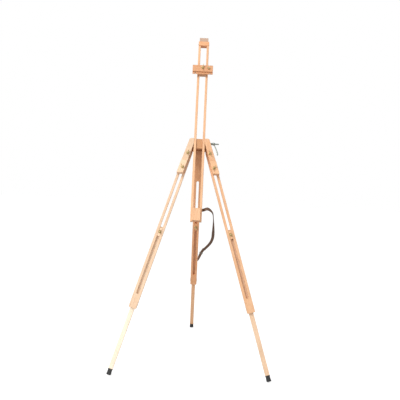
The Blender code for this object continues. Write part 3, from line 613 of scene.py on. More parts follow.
@dataclass(frozen=True)
class Thread:
    """Waxed linen thread with a twisted lay."""

    name: str = "waxed_thread"
    light: Colour = (0.085, 0.055, 0.040)
    dark: Colour = (0.030, 0.019, 0.014)
    slot: str = "leather"

    def material(self) -> bpy.types.Material:
        """Make the thread's material once.

        Returns:
            The material.
        """
        made = bpy.data.materials.get(self.name)
        if made is not None:
            return made
        bench = FinishBench(self.name)
        desk = bench.desk
        twist = desk.add("ShaderNodeTexWave", {"Vector": bench.vector, "Scale": 420.0, "Distortion": 2.0})
        lay = twist.outputs["Fac"]
        smudge = bench.handling(80.0)
        colour = desk.mix(desk.math("MAXIMUM", lay, smudge), shade(self.dark), shade(self.light))
        bench.bump(lay, 0.5, 0.0001)
        return bench.set(Base_Color=colour, Roughness=desk.math("ADD", 0.62, desk.math("MULTIPLY", lay, 0.2)))


def shade(colour: Colour, level: float = 1.0) -> tuple[float, float, float, float]:
    """A colour with its alpha, made lighter or darker by a level."""
    return colour[0] * level, colour[1] * level, colour[2] * level, 1.0


BEECH = Beech()
# Darker copy of beech: painted shade for the yoke, hinge lugs and saddle block, which sit in shade between
# the rails.
SHADE_PAINTED_BEECH = Beech(name="shade_painted_beech", pale=(0.64, 0.32, 0.14), warm=(0.50, 0.21, 0.08),
                    slot="beech_shadowed")
# Lighter copy of beech: painted light on the left cheek and left leg, which the key lamp lights from the
# left, and on the right leg's lower bar near the floor.
LIGHT_PAINTED_BEECH = Beech(name="light_painted_beech", pale=(0.88, 0.64, 0.44), warm=(0.79, 0.49, 0.29), flecks=0.3)
# Near-white copy of beech: painted light on the left leg's lower bar, which the lamps wash out near the
# floor.
GLARE_PAINTED_BEECH = Beech(name="glare_painted_beech", pale=(0.90, 0.77, 0.61), warm=(0.84, 0.65, 0.46), bands=0.4, flecks=0.2)
END_GRAIN = Beech(name="end_grain_beech", pale=(0.56, 0.40, 0.30), warm=(0.48, 0.30, 0.20),
                  bands=0.5, flecks=0.5)
# Darker, redder copy of beech: painted shade on the rear leg, which stands in the head's shade, and the
# redder wood of the end blocks, clamp and dowels.
RED_TONE_PLUS_SHADE_BEECH = Beech(name="red_tone_plus_shade_beech", pale=(0.79, 0.41, 0.21), warm=(0.69, 0.30, 0.125), bands=0.6, flecks=0.55)
BRASS = Metal("brass", clean=(0.46, 0.28, 0.085), dull=(0.085, 0.050, 0.018), roughness=0.30, tarnish=0.95,
              pits=700.0, scratches=0.4, slot="brass")
STEEL = Metal("zinc_steel", clean=(0.44, 0.47, 0.42), dull=(0.18, 0.20, 0.17), roughness=0.30, tarnish=0.7)
RUBBER = Rubber()
LEATHER = Leather()
THREAD = Thread()


# ---- Mesh helpers ------------------------------------------------------------------------------------
def new_piece(name: str, mesh: bpy.types.Mesh, place: Matrix, body: str, finish: object,
              material: bpy.types.Material | None = None,
              between: tuple[Vector, Vector] | None = None) -> bpy.types.Object:
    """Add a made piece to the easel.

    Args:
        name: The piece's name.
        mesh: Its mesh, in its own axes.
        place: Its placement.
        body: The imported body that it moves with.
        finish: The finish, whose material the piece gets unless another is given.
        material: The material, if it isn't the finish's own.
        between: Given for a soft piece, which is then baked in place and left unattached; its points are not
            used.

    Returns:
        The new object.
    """
    piece = bpy.data.objects.new(name, mesh)
    bpy.context.scene.collection.objects.link(piece)
    piece.matrix_world = place
    if not mesh.materials:
        mesh.materials.append(material or finish.material())
    if between is None:
        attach(piece, body)
    else:
        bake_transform(piece)
    LOG.info("made %s on %s: %d vertices", name, body, len(mesh.vertices))
    return piece


def to_mesh(bm: bmesh.types.BMesh, name: str, sharp: float = 35.0) -> bpy.types.Mesh:
    """Close a bmesh into a smooth-shaded mesh.

    Args:
        bm: The bmesh, which is freed.
        name: The mesh's name.
        sharp: Angle in degrees above which an edge stays sharp.

    Returns:
        The mesh.
    """
    bmesh.ops.recalc_face_normals(bm, faces=bm.faces)
    mesh = bpy.data.meshes.new(name)
    bm.to_mesh(mesh)
    bm.free()
    mesh.shade_smooth()
    mesh.set_sharp_from_angle(angle=math.radians(sharp))
    return mesh


def add_turned(bm: bmesh.types.BMesh, profile: Sequence[tuple[float, float]], steps: int = 32,
               closed: bool = False) -> None:
    """Add a turned solid about Z to a bmesh.

    Args:
        bm: The bmesh.
        profile: Its radius and height at each point; a radius of 0 closes an end.
        steps: Number of sides.
        closed: Whether the last point joins the first, as in a ring.
    """
    rings = []
    for radius, height in profile:
        count = 1 if radius == 0 else steps
        rings.append([bm.verts.new((radius * math.cos(math.tau * turn / steps),
                                    radius * math.sin(math.tau * turn / steps), height))
                      for turn in range(count)])
    pairs = list(zip(rings, rings[1:])) + ([(rings[-1], rings[0])] if closed else [])
    for lower, upper in pairs:
        for turn in range(steps):
            after = turn + 1
            corners = [lower[turn % len(lower)], lower[after % len(lower)],
                       upper[after % len(upper)], upper[turn % len(upper)]]
            bm.faces.new(list(dict.fromkeys(corners)))


def turned_mesh(name: str, profile: Sequence[tuple[float, float]], steps: int = 32,
                closed: bool = False) -> bpy.types.Mesh:
    """A turned solid about Z as a mesh of its own.

    Args:
        name: The mesh's name.
        profile: Its radius and height at each point; a radius of 0 closes an end.
        steps: Number of sides.
        closed: Whether the last point joins the first, as in a ring.

    Returns:
        The mesh.
    """
    bm = bmesh.new()
    add_turned(bm, profile, steps, closed)
    return to_mesh(bm, name)


def add_loft(bm: bmesh.types.BMesh, rings: Sequence[Sequence[Vector]]) -> None:
    """Add a closed loft through rings of the same count, with flat ends.

    Args:
        bm: The bmesh.
        rings: The rings of points, each in order round its section.
    """
    made = [[bm.verts.new(point) for point in ring] for ring in rings]
    for first, last in zip(made, made[1:]):
        for step, corner in enumerate(first):
            after = (step + 1) % len(first)
            bm.faces.new((corner, first[after], last[after], last[step]))
    bm.faces.new(list(reversed(made[0])))
    bm.faces.new(made[-1])


def rounded_section(half_wide: float, half_deep: float, corner: float,
                    steps: int = 4) -> list[tuple[float, float]]:
    """Outline of a rounded rectangle.

    Args:
        half_wide: Half its width.
        half_deep: Half its depth.
        corner: Radius of its corners.
        steps: Facets of each corner.

    Returns:
        The points, anticlockwise from the right-hand side.
    """
    points = []
    for quarter, (across, deep) in enumerate(((1, 1), (-1, 1), (-1, -1), (1, -1))):
        centre = (across * (half_wide - corner), deep * (half_deep - corner))
        for step in range(steps + 1):
            angle = math.radians(90 * quarter + 90 * step / steps)
            points.append((centre[0] + corner * math.cos(angle), centre[1] + corner * math.sin(angle)))
    return points


def towards(direction: Vector, upright: Vector) -> Matrix:
    """Rotation that takes Z to a direction and X as near as it can to a second one.

    Args:
        direction: Where Z goes.
        upright: Where X goes as nearly as it can.

    Returns:
        The rotation.
    """
    z_axis = direction.normalized()
    x_axis = (upright - z_axis * upright.dot(z_axis)).normalized()
    return Matrix((x_axis, z_axis.cross(x_axis), z_axis)).transposed()


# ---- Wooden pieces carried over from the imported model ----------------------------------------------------
@dataclass
class Timber:
    """The wooden nodes of one assembly, with the way each one's grain runs."""

    axes: Axes
    upright: tuple[str, ...] = ()
    crosswise: tuple[str, ...] = ()
    finish: Beech = BEECH

    def dress(self) -> None:
        """Give each node its own cut of timber."""
        for nodes, grain in ((self.upright, Grain.UPRIGHT), (self.crosswise, Grain.CROSSWISE)):
            for node in nodes:
                dress_node(node, self.finish, self.finish.material(node, self.axes, grain))


def dress_node(node: str, finish: object, material: bpy.types.Material | None = None) -> None:
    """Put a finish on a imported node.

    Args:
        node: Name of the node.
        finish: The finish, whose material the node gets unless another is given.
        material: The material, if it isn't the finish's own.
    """
    piece = frame["nodes"][node]
    piece.data.materials.clear()
    piece.data.materials.append(material or finish.material())
    LOG.info("dressed %s as %s", node, finish.name)


# ---- Wing nuts, washers and threads ------------------------------------------------------------------------
@dataclass
class WingNuts:
    """Cast brass wing nuts with a washer below and the bolt's thread standing out above."""

    hub_radius: float = 0.0063
    hub_top_radius: float = 0.0050
    hub_height: float = 0.0086
    bore_radius: float = 0.0031
    lobe_radius: float = 0.0041
    lobe_reach: float = 0.0124
    lobe_rise: float = 0.0123
    wing_half_thick: float = 0.00125
    washer_inner: float = 0.0065
    washer_outer: float = 0.0080
    washer_thick: float = 0.0010
    thread_proud: float = 0.0034
    meshes: dict[str, bpy.types.Mesh] = field(default_factory=dict)

    def hub(self, bm: bmesh.types.BMesh) -> None:
        """Add the hub: a bored cone with a flanged seat.

        Args:
            bm: The bmesh.
        """
        top = self.hub_height
        profile = [(self.bore_radius, 0.0), (self.hub_radius, 0.0), (self.hub_radius, 0.0014),
                   (self.hub_radius * 0.93, 0.0021), (self.hub_top_radius, top * 0.93),
                   (self.hub_top_radius * 0.9, top), (self.bore_radius, top)]
        add_turned(bm, profile, 36, True)

    def wing(self, bm: bmesh.types.BMesh, side: int) -> None:
        """Add one wing: a crowned plate from the hub's side out to a round lobe.

        Args:
            bm: The bmesh.
            side: 1 for the wing on the right, -1 for the other.
        """
        arm_steps, lobe_steps, lobe_end = 15, 8, 8.6
        lean_out, lean_up = 0.72, 0.69
        rings = []
        for step in range(arm_steps + 1):
            share = step / arm_steps
            centre = (self.hub_top_radius * 0.78 + (self.lobe_reach - self.hub_top_radius * 0.78) * share,
                      self.hub_height * 0.50 + (self.lobe_rise - self.hub_height * 0.50) * share ** 1.2)
            half = self.lobe_radius * (0.86 + 0.14 * math.cos(math.pi * (1 + share)) ** 2)
            rings.append((centre, half * (0.92 - 0.10 * math.sin(math.pi * share))))
        centre, half = rings[-1]
        for step in range(1, lobe_steps + 1):
            angle = math.pi / 2 * step / lobe_end
            out = half * math.sin(angle)
            rings.append(((centre[0] + out * lean_out, centre[1] + out * lean_up), half * math.cos(angle)))
        slope = Vector((-lean_up, 0.0, lean_out))
        lofted = []
        for (across, rise), half in rings:
            thick = self.wing_half_thick * (0.85 + 0.3 * across / self.lobe_reach)
            ring = [Vector((across, 0, rise)) + slope * (half * math.cos(turn))
                    + Vector((0, thick * math.sin(turn), 0))
                    for turn in (math.tau * spoke / 20 for spoke in range(20))]
            lofted.append([Vector((side * point.x, point.y, point.z)) for point in ring])
        add_loft(bm, lofted)

    def casting(self) -> bpy.types.Mesh:
        """The whole casting, its parts fused and its joins filleted, made once.

        Returns:
            The mesh.
        """
        if "nut" not in self.meshes:
            bm = bmesh.new()
            self.hub(bm)
            self.wing(bm, 1)
            self.wing(bm, -1)
            rough = bpy.data.objects.new("nut_pattern", to_mesh(bm, "nut_pattern"))
            bpy.context.scene.collection.objects.link(rough)
            remesh = rough.modifiers.new("fuse", "REMESH")
            remesh.mode = "VOXEL"
            remesh.voxel_size = 0.00042
            remesh.use_smooth_shade = True
            soften = rough.modifiers.new("fillet", "SMOOTH")
            soften.factor = 0.5
            soften.iterations = 4
            graph = bpy.context.evaluated_depsgraph_get()
            self.meshes["nut"] = bpy.data.meshes.new_from_object(rough.evaluated_get(graph))
            self.meshes["nut"].name = "wing_nut_casting"
            self.meshes["nut"].materials.clear()
            bpy.data.objects.remove(rough)
        return self.meshes["nut"]

    def washer(self) -> bpy.types.Mesh:
        """The washer: a ring with rolled edges, made once.

        Returns:
            The mesh.
        """
        if "washer" not in self.meshes:
            inner, outer, thick = self.washer_inner, self.washer_outer, self.washer_thick
            ease = thick * 0.35
            profile = [(inner, 0.0), (outer - ease, 0.0), (outer, ease), (outer, thick - ease),
                       (outer - ease, thick), (inner + ease, thick), (inner, thick - ease)]
            self.meshes["washer"] = turned_mesh("washer", profile, 40, True)
        return self.meshes["washer"]

    def thread(self) -> bpy.types.Mesh:
        """The bolt's last turns of thread, made once.

        Returns:
            The mesh.
        """
        if "thread" not in self.meshes:
            self.meshes["thread"] = thread_mesh("bolt_thread", 0.0029, 0.00085, self.thread_proud)
        return self.meshes["thread"]

    def build(self) -> None:
        """Replace each imported wing nut and add its washer and thread."""
        for joint in JOINTS.values():
            nodes = [node for node, body in NODE_BODY.items() if body == joint["child"]]
            if not nodes or not nodes[0].endswith("wing_nut"):
                continue
            node = nodes[0]
            axis = Vector(joint["axis"]).normalized()
            origin = Vector(joint["pos_m"])
            offsets = [vertex.co - origin for vertex in frame["nodes"][node].data.vertices]
            seat = origin + axis * min(offset.dot(axis) for offset in offsets)
            spokes = (offset - axis * offset.dot(axis) for offset in offsets)
            wide = max(spokes, key=lambda spoke: spoke.length)
            place = Matrix.Translation(seat) @ towards(axis, wide).to_4x4()
            moving, fixed = joint["child"], joint["parent"]
            nut = new_piece(node.replace("wing_nut", "cast_nut"), self.casting(), place, moving, BRASS)
            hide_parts(node)
            new_piece(node.replace("wing_nut", "washer"), self.washer(), place, fixed, BRASS)
            tip = place @ Matrix.Translation((0, 0, self.hub_height))
            new_piece(node.replace("wing_nut", "bolt_thread"), self.thread(), tip, fixed, BRASS)


def thread_mesh(name: str, core: float, pitch: float, length: float, sides: int = 20) -> bpy.types.Mesh:
    """A helical ridge that stands on a plain rod along Z.

    Args:
        name: The mesh's name.
        core: Radius at the thread's root.
        pitch: Rise in one turn.
        length: Length of the threaded stretch.
        sides: Steps in a turn.

    Returns:
        The mesh.
    """
    crest = core + pitch * 0.45
    rings = []
    steps = int((length / pitch - 1) * sides)
    for step in range(steps + 1):
        angle = math.tau * step / sides
        height = pitch * (0.5 + step / sides)
        fade = min(1.0, step / sides, (steps - step) / sides) * (crest - core)
        out = Vector((math.cos(angle), math.sin(angle), 0))
        rings.append([out * (core - 0.0002) + Vector((0, 0, height - pitch * 0.42)),
                      out * (core + fade + 0.00002) + Vector((0, 0, height - pitch * 0.08)),
                      out * (core + fade + 0.00002) + Vector((0, 0, height + pitch * 0.08)),
                      out * (core - 0.0002) + Vector((0, 0, height + pitch * 0.42))])
    bm = bmesh.new()
    add_loft(bm, rings)
    return to_mesh(bm, name, 25.0)


# ---- Screws ------------------------------------------------------------------------------------------------
@dataclass
class Screws:
    """Slotted round-head wood screws, sharing one mesh for each size."""

    radius: float = 0.0030
    height: float = 0.0016
    slot_half: float = 0.00035
    meshes: list[bpy.types.Mesh] = field(default_factory=list)

    def head(self) -> bpy.types.Mesh:
        """A domed head with a cut slot, made once.

        Returns:
            The mesh.
        """
        if not self.meshes:
            steps = 6
            dome = [(self.radius * math.cos(math.pi / 2 * step / steps),
                     self.height * (0.25 + 0.75 * math.sin(math.pi / 2 * step / steps)))
                    for step in range(steps)]
            bm = bmesh.new()
            add_turned(bm, [(0, 0), (self.radius, 0)] + dome + [(0, self.height)], 28)
            blank = bpy.data.objects.new("screw_blank", to_mesh(bm, "screw_head"))
            bpy.context.scene.collection.objects.link(blank)
            cutter_form = bmesh.new()
            size = Matrix.Diagonal((self.radius * 3, self.slot_half * 2, self.height, 1))
            lift = Matrix.Translation((0, 0, self.height * 0.98))
            bmesh.ops.create_cube(cutter_form, size=1, matrix=lift @ size)
            cutter = bpy.data.objects.new("screw_slot", to_mesh(cutter_form, "screw_slot"))
            bpy.context.scene.collection.objects.link(cutter)
            boolean = blank.modifiers.new("slot", "BOOLEAN")
            boolean.object = cutter
            graph = bpy.context.evaluated_depsgraph_get()
            self.meshes.append(bpy.data.meshes.new_from_object(blank.evaluated_get(graph)))
            bpy.data.objects.remove(blank)
            bpy.data.objects.remove(cutter)
        return self.meshes[0]

    def drive(self, name: str, place: Vector, out: Vector, body: str, twist: float) -> None:
        """Drive one screw.

        Args:
            name: The screw's name.
            place: Middle of its head's seat.
            out: Direction that its head faces.
            body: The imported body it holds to.
            twist: Angle of its slot in degrees.
        """
        side = Vector((0, 0, 1)) if abs(out.normalized().z) < 0.9 else Vector((1, 0, 0))
        turn = towards(out, side) @ Matrix.Rotation(math.radians(twist), 3, "Z")
        new_piece(name, self.head(), Matrix.Translation(place) @ turn.to_4x4(), body, STEEL)


SCREWS = Screws()


# ---- Head and clamp lever --------------------------------------------------------------------------------
@dataclass
class Head:
    """Cheeks, yoke, hinge lugs and the transverse bolt with its clamp lever."""

    axes: Axes
    arm_length: float = 0.0575
    arm_half_wide: float = 0.0044
    arm_half_thick: float = 0.0021
    flare: float = 20.0
    bolt_core: float = 0.0031
    bolt_pitch: float = 0.00110

    def dress(self) -> None:
        """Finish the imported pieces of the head."""
        # The left cheek gets a lighter copy of beech than the right: painted light from the left.
        Timber(self.axes, upright=("left_cheek",), finish=LIGHT_PAINTED_BEECH).dress()
        Timber(self.axes, upright=("right_cheek",), finish=BEECH).dress()
        lugs = ("rear_hinge_lug_left", "rear_hinge_lug_right")
        # The yoke and hinge lugs get the darker copy of beech: painted shade between the rails.
        Timber(self.axes, lugs, ("head_yoke",), SHADE_PAINTED_BEECH).dress()
        for node in ("clamp_bolt", "lever_collar", "rear_hinge_pin"):
            dress_node(node, STEEL)
        for node in ("left_pivot_bolt", "right_pivot_bolt"):
            dress_node(node, BRASS)

    def lever(self) -> None:
        """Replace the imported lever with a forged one: a ringed hub and a paddle-ended arm."""
        low, high = self.axes.span("lever_hub")
        middle = (low.x + high.x) / 2
        half = (high.x - low.x) / 2
        radius = (high.z - low.z) / 2
        clearance = 0.0006
        bore = self.bolt_core + clearance
        bm = bmesh.new()
        outline = ((0.80, -1.0), (0.92, -0.86), (1.0, -0.55), (1.0, 0.30), (0.93, 0.42), (0.78, 0.50),
                   (0.78, 0.72), (0.84, 0.80), (0.80, 1.0))
        profile = [(bore, -half)] + [(radius * out, half * along) for out, along in outline] + [(bore, half)]
        add_turned(bm, profile, 40, True)
        bm.transform(Matrix.Rotation(math.pi / 2, 4, "Y"))
        lean = math.radians(self.flare)
        down = Vector((math.sin(lean), 0, -math.cos(lean)))
        out = Vector((math.cos(lean), 0, math.sin(lean)))
        start = radius * 0.55
        rings = []
        stations = 26
        for step in range(stations + 1):
            share = step / stations
            swell = 0.62 + 0.38 * share ** 0.8 - 0.16 * math.sin(math.pi * share) ** 2
            end = math.sqrt(max(0.0, 1 - max(0.0, (share - 0.90) / 0.101) ** 2))
            wide = max(self.arm_half_wide * swell * end, 0.0003)
            thick = max(self.arm_half_thick * (1.25 - 0.35 * share) * (0.35 + 0.65 * end), 0.0003)
            bow = out * (0.0022 * math.sin(math.pi * share))
            centre = down * (start + (self.arm_length + radius - start) * share) + bow
            rings.append([centre + out * (wide * math.cos(angle)) + Vector((0, thick * math.sin(angle), 0))
                          for angle in (math.tau * spoke / 20 for spoke in range(20))])
        add_loft(bm, rings)
        mesh = to_mesh(bm, "forged_lever")
        place = self.axes.matrix(self.axes.at(right=middle))
        piece = new_piece("forged_lever", mesh, place, "clamp_lever", STEEL)
        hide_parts("lever_hub", "lever_arm")

    def bolt_thread(self) -> None:
        """Thread the end of the transverse bolt beyond the lever's hub."""
        hub_end = self.axes.span("lever_hub")[1].x
        bolt_end = self.axes.span("clamp_bolt")[1].x
        mesh = thread_mesh("clamp_thread", self.bolt_core, self.bolt_pitch, bolt_end - hub_end - 0.001, 24)
        turn = towards(self.axes.right, self.axes.up).to_4x4()
        place = Matrix.Translation(self.axes.at(right=hub_end)) @ turn
        new_piece("clamp_bolt_thread", mesh, place, "head", STEEL)

    def screws(self) -> None:
        """Screw the hinge lugs to the yoke from their sides."""
        for side, word in ((-1, "left"), (1, "right")):
            low, high = self.axes.span(f"rear_hinge_lug_{word}")
            face = high.x if side > 0 else low.x
            for rise, tag in ((0.28, "lower"), (0.78, "upper")):
                spot = self.axes.at(face, low.y + (high.y - low.y) * 0.16, low.z + (high.z - low.z) * rise)
                twist = 35 * side + 60 * rise
                SCREWS.drive(f"lug_screw_{word}_{tag}", spot, self.axes.right * side, "head", twist)

    def build(self) -> None:
        """Dress and detail the head."""
        self.dress()
        self.lever()
        self.bolt_thread()
        self.screws()


# ---- Mast and top clamp ----------------------------------------------------------------------------------
@dataclass
class Mast:
    """Two rails with their end blocks, the saddle on the bolt and the sliding canvas clamp."""

    axes: Axes
    dowel_radius: float = 0.0030
    dowel_proud: float = 0.0002
    knob_ribs: int = 24

    def dress(self) -> None:
        """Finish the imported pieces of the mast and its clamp."""
        Timber(self.axes, ("left_rail", "right_rail", "clamp_tongue")).dress()
        Timber(self.axes, upright=("bottom_plate",), crosswise=("clamp_plate",)).dress()
        Timber(self.axes, ("bottom_block",), ("clamp_block", "clamp_lip", "top_block"), RED_TONE_PLUS_SHADE_BEECH).dress()
        Timber(self.axes, crosswise=("top_cap",), finish=END_GRAIN).dress()
        # The saddle block gets the darker copy of beech: painted shade between the rails.
        Timber(self.axes, upright=("saddle_block",), finish=SHADE_PAINTED_BEECH).dress()
        dress_node("clamp_sleeve", STEEL)
        dress_node("top_clamp_bolt", BRASS)

    def knob(self) -> None:
        """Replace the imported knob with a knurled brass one."""
        low, high = self.axes.span("clamp_knob")
        radius = (high.x - low.x) / 2
        gap = 0.0003
        seat = self.axes.span("clamp_block")[0].y - gap
        length = seat - low.y
        bm = bmesh.new()
        rings = []
        outline = ((0.0, 0.80, 0), (0.06, 0.90, 0), (0.10, 1.0, 1), (0.62, 1.0, 1), (0.68, 0.92, 0),
                   (0.74, 0.80, 0), (0.96, 0.74, 0), (1.0, 0.66, 0))
        for share, scale, rib in outline:
            ring = []
            for spoke in range(self.knob_ribs * 4):
                angle = math.tau * spoke / (self.knob_ribs * 4)
                notch = 1 - rib * 0.07 * (spoke % 4 in (0, 1))
                ring.append(Vector((math.cos(angle), math.sin(angle), 0)) * (radius * scale * notch)
                            + Vector((0, 0, length * share)))
            rings.append(ring)
        add_loft(bm, rings)
        centre = self.axes.at((low.x + high.x) / 2, seat, (low.z + high.z) / 2)
        place = Matrix.Translation(centre) @ towards(-self.axes.back, self.axes.up).to_4x4()
        piece = new_piece("knurled_knob", to_mesh(bm, "knurled_knob", 28.0), place, "clamp_knob", BRASS)
        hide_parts("clamp_knob")

    def dowels(self) -> None:
        """Pin the bottom block through the rails with dowel ends that show on the outer sides."""
        radius, proud, sunk = self.dowel_radius, self.dowel_proud, -0.0004
        profile = [(0, sunk), (radius, sunk), (radius, proud * 0.5), (radius * 0.9, proud), (0, proud)]
        mesh = turned_mesh("dowel_end", profile, 24)
        mesh.materials.append(RED_TONE_PLUS_SHADE_BEECH.material("dowel", self.axes, Grain.CROSSWISE))
        rail_side = self.axes.span("right_rail")[1].x
        block_low, block_high = self.axes.span("bottom_block")
        margin = 0.016
        heights = {"low": block_low.z + margin, "mid": block_high.z - margin}
        for side, word in ((-1, "left"), (1, "right")):
            for tag, height in heights.items():
                spot = self.axes.at(side * rail_side, 0.0, height)
                place = Matrix.Translation(spot) @ towards(self.axes.right * side, self.axes.up).to_4x4()
                new_piece(f"rail_dowel_{word}_{tag}", mesh, place, "mast", RED_TONE_PLUS_SHADE_BEECH)

    def screws(self) -> None:
        """Screw the top cap from above, the top block from its sides and the lip from the front."""
        low, high = self.axes.span("top_cap")
        for side, word in ((-1, "left"), (1, "right")):
            spot = self.axes.at(side * (high.x - low.x) * 0.28, (low.y + high.y) / 2, high.z)
            SCREWS.drive(f"cap_screw_{word}", spot, self.axes.up, "mast", 20 + 50 * side)
        low, high = self.axes.span("top_block")
        for side, word in ((-1, "left"), (1, "right")):
            spot = self.axes.at(side * high.x, (low.y + high.y) / 2, (low.z + high.z) / 2)
            SCREWS.drive(f"block_screw_{word}", spot, self.axes.right * side, "mast", 40)
        low, high = self.axes.span("clamp_lip")
        for side, word in ((-1, "left"), (1, "right")):
            spot = self.axes.at(side * high.x * 0.72, low.y, (low.z + high.z) / 2)
            SCREWS.drive(f"lip_screw_{word}", spot, -self.axes.back, "top_clamp", 15 * side)

    def build(self) -> None:
        """Dress and detail the mast."""
        self.dress()
        self.knob()
        self.dowels()
        self.screws()


# ---- Legs ------------------------------------------------------------------------------------------------
@dataclass
class Leg:
    """One telescopic leg: slotted board, sliding bar, keeper loop and rubber foot."""

    word: str
    axes: Axes
    finish: Beech = BEECH
    bar_finish: Beech = BEECH
    foot_corner: float = 0.0050
    foot_stations: int = 40

    def dress(self) -> None:
        """Finish the leg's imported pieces."""
        word = self.word
        Timber(self.axes, upright=(f"{word}_leg_board", f"{word}_guide_block"), finish=self.finish).dress()
        Timber(self.axes, upright=(f"{word}_lower_bar",), finish=self.bar_finish).dress()
        dress_node(f"{word}_leg_keeper", STEEL)
        dress_node(f"{word}_leg_bolt", BRASS)
        if word != "rear":
            rest = (f"{word}_rest_block", f"{word}_rest_tongue")
            Timber(self.axes, upright=rest, finish=self.finish).dress()
            dress_node(f"{word}_rest_bolt", BRASS)

    def foot(self) -> None:
        """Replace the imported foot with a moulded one: rolled lip, waisted body and ribbed tread."""
        node = f"{self.word}_foot"
        low, high = self.axes.span(node)
        centre = (low + high) / 2
        half_wide = (high.x - low.x) / 2
        half_deep = (high.y - low.y) / 2
        length = high.z - low.z
        tread_top, waist_top = length * 0.38, length * 0.86
        groove, groove_pitch, waist, lip = 0.0007, 0.0026, 0.0010, 0.0016
        rings = []
        for step in range(self.foot_stations + 1):
            rise = length * step / self.foot_stations
            inset = 0.0
            if rise < self.foot_corner:
                inset = self.foot_corner - math.sqrt(self.foot_corner ** 2 - (self.foot_corner - rise) ** 2)
            elif rise < tread_top:
                inset = groove * (0.5 - 0.5 * math.cos(math.tau * (rise - self.foot_corner) / groove_pitch))
            elif rise < waist_top:
                inset = waist
            top_gap = length - rise
            if top_gap < lip:
                inset += lip - math.sqrt(max(0.0, lip ** 2 - (lip - top_gap) ** 2))
            corner = max(0.0006, self.foot_corner - inset * 0.5)
            corner = min(corner, half_deep - inset - 0.0002)
            section = rounded_section(half_wide - inset, half_deep - inset, corner)
            rings.append([Vector((across, deep, low.z + rise)) for across, deep in section])
        bm = bmesh.new()
        add_loft(bm, rings)
        bm.transform(Matrix.Translation((centre.x, centre.y, 0)))
        place = self.axes.matrix(self.axes.origin)
        piece = new_piece(f"{self.word}_rubber_foot", to_mesh(bm, "rubber_foot", 50.0), place,
                          f"{self.word}_lower", RUBBER)
        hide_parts(node)

    def screws(self) -> None:
        """Screw the keeper's flanges to the back of the board."""
        low, high = self.axes.span(f"{self.word}_leg_keeper")
        board_back = self.axes.span(f"{self.word}_leg_board")[1].y
        bar_half = self.axes.span(f"{self.word}_lower_bar")[1].x
        sheet = 0.0021
        across = (high.x + bar_half + sheet) / 2
        for side, tag in ((-1, "left"), (1, "right")):
            spot = self.axes.at(side * across, board_back + sheet, (low.z + high.z) / 2)
            name = f"{self.word}_keeper_screw_{tag}"
            SCREWS.drive(name, spot, self.axes.back, f"{self.word}_leg", 25 + 40 * side)

    def build(self) -> None:
        """Dress and detail the leg."""
        self.dress()
        self.foot()
        self.screws()


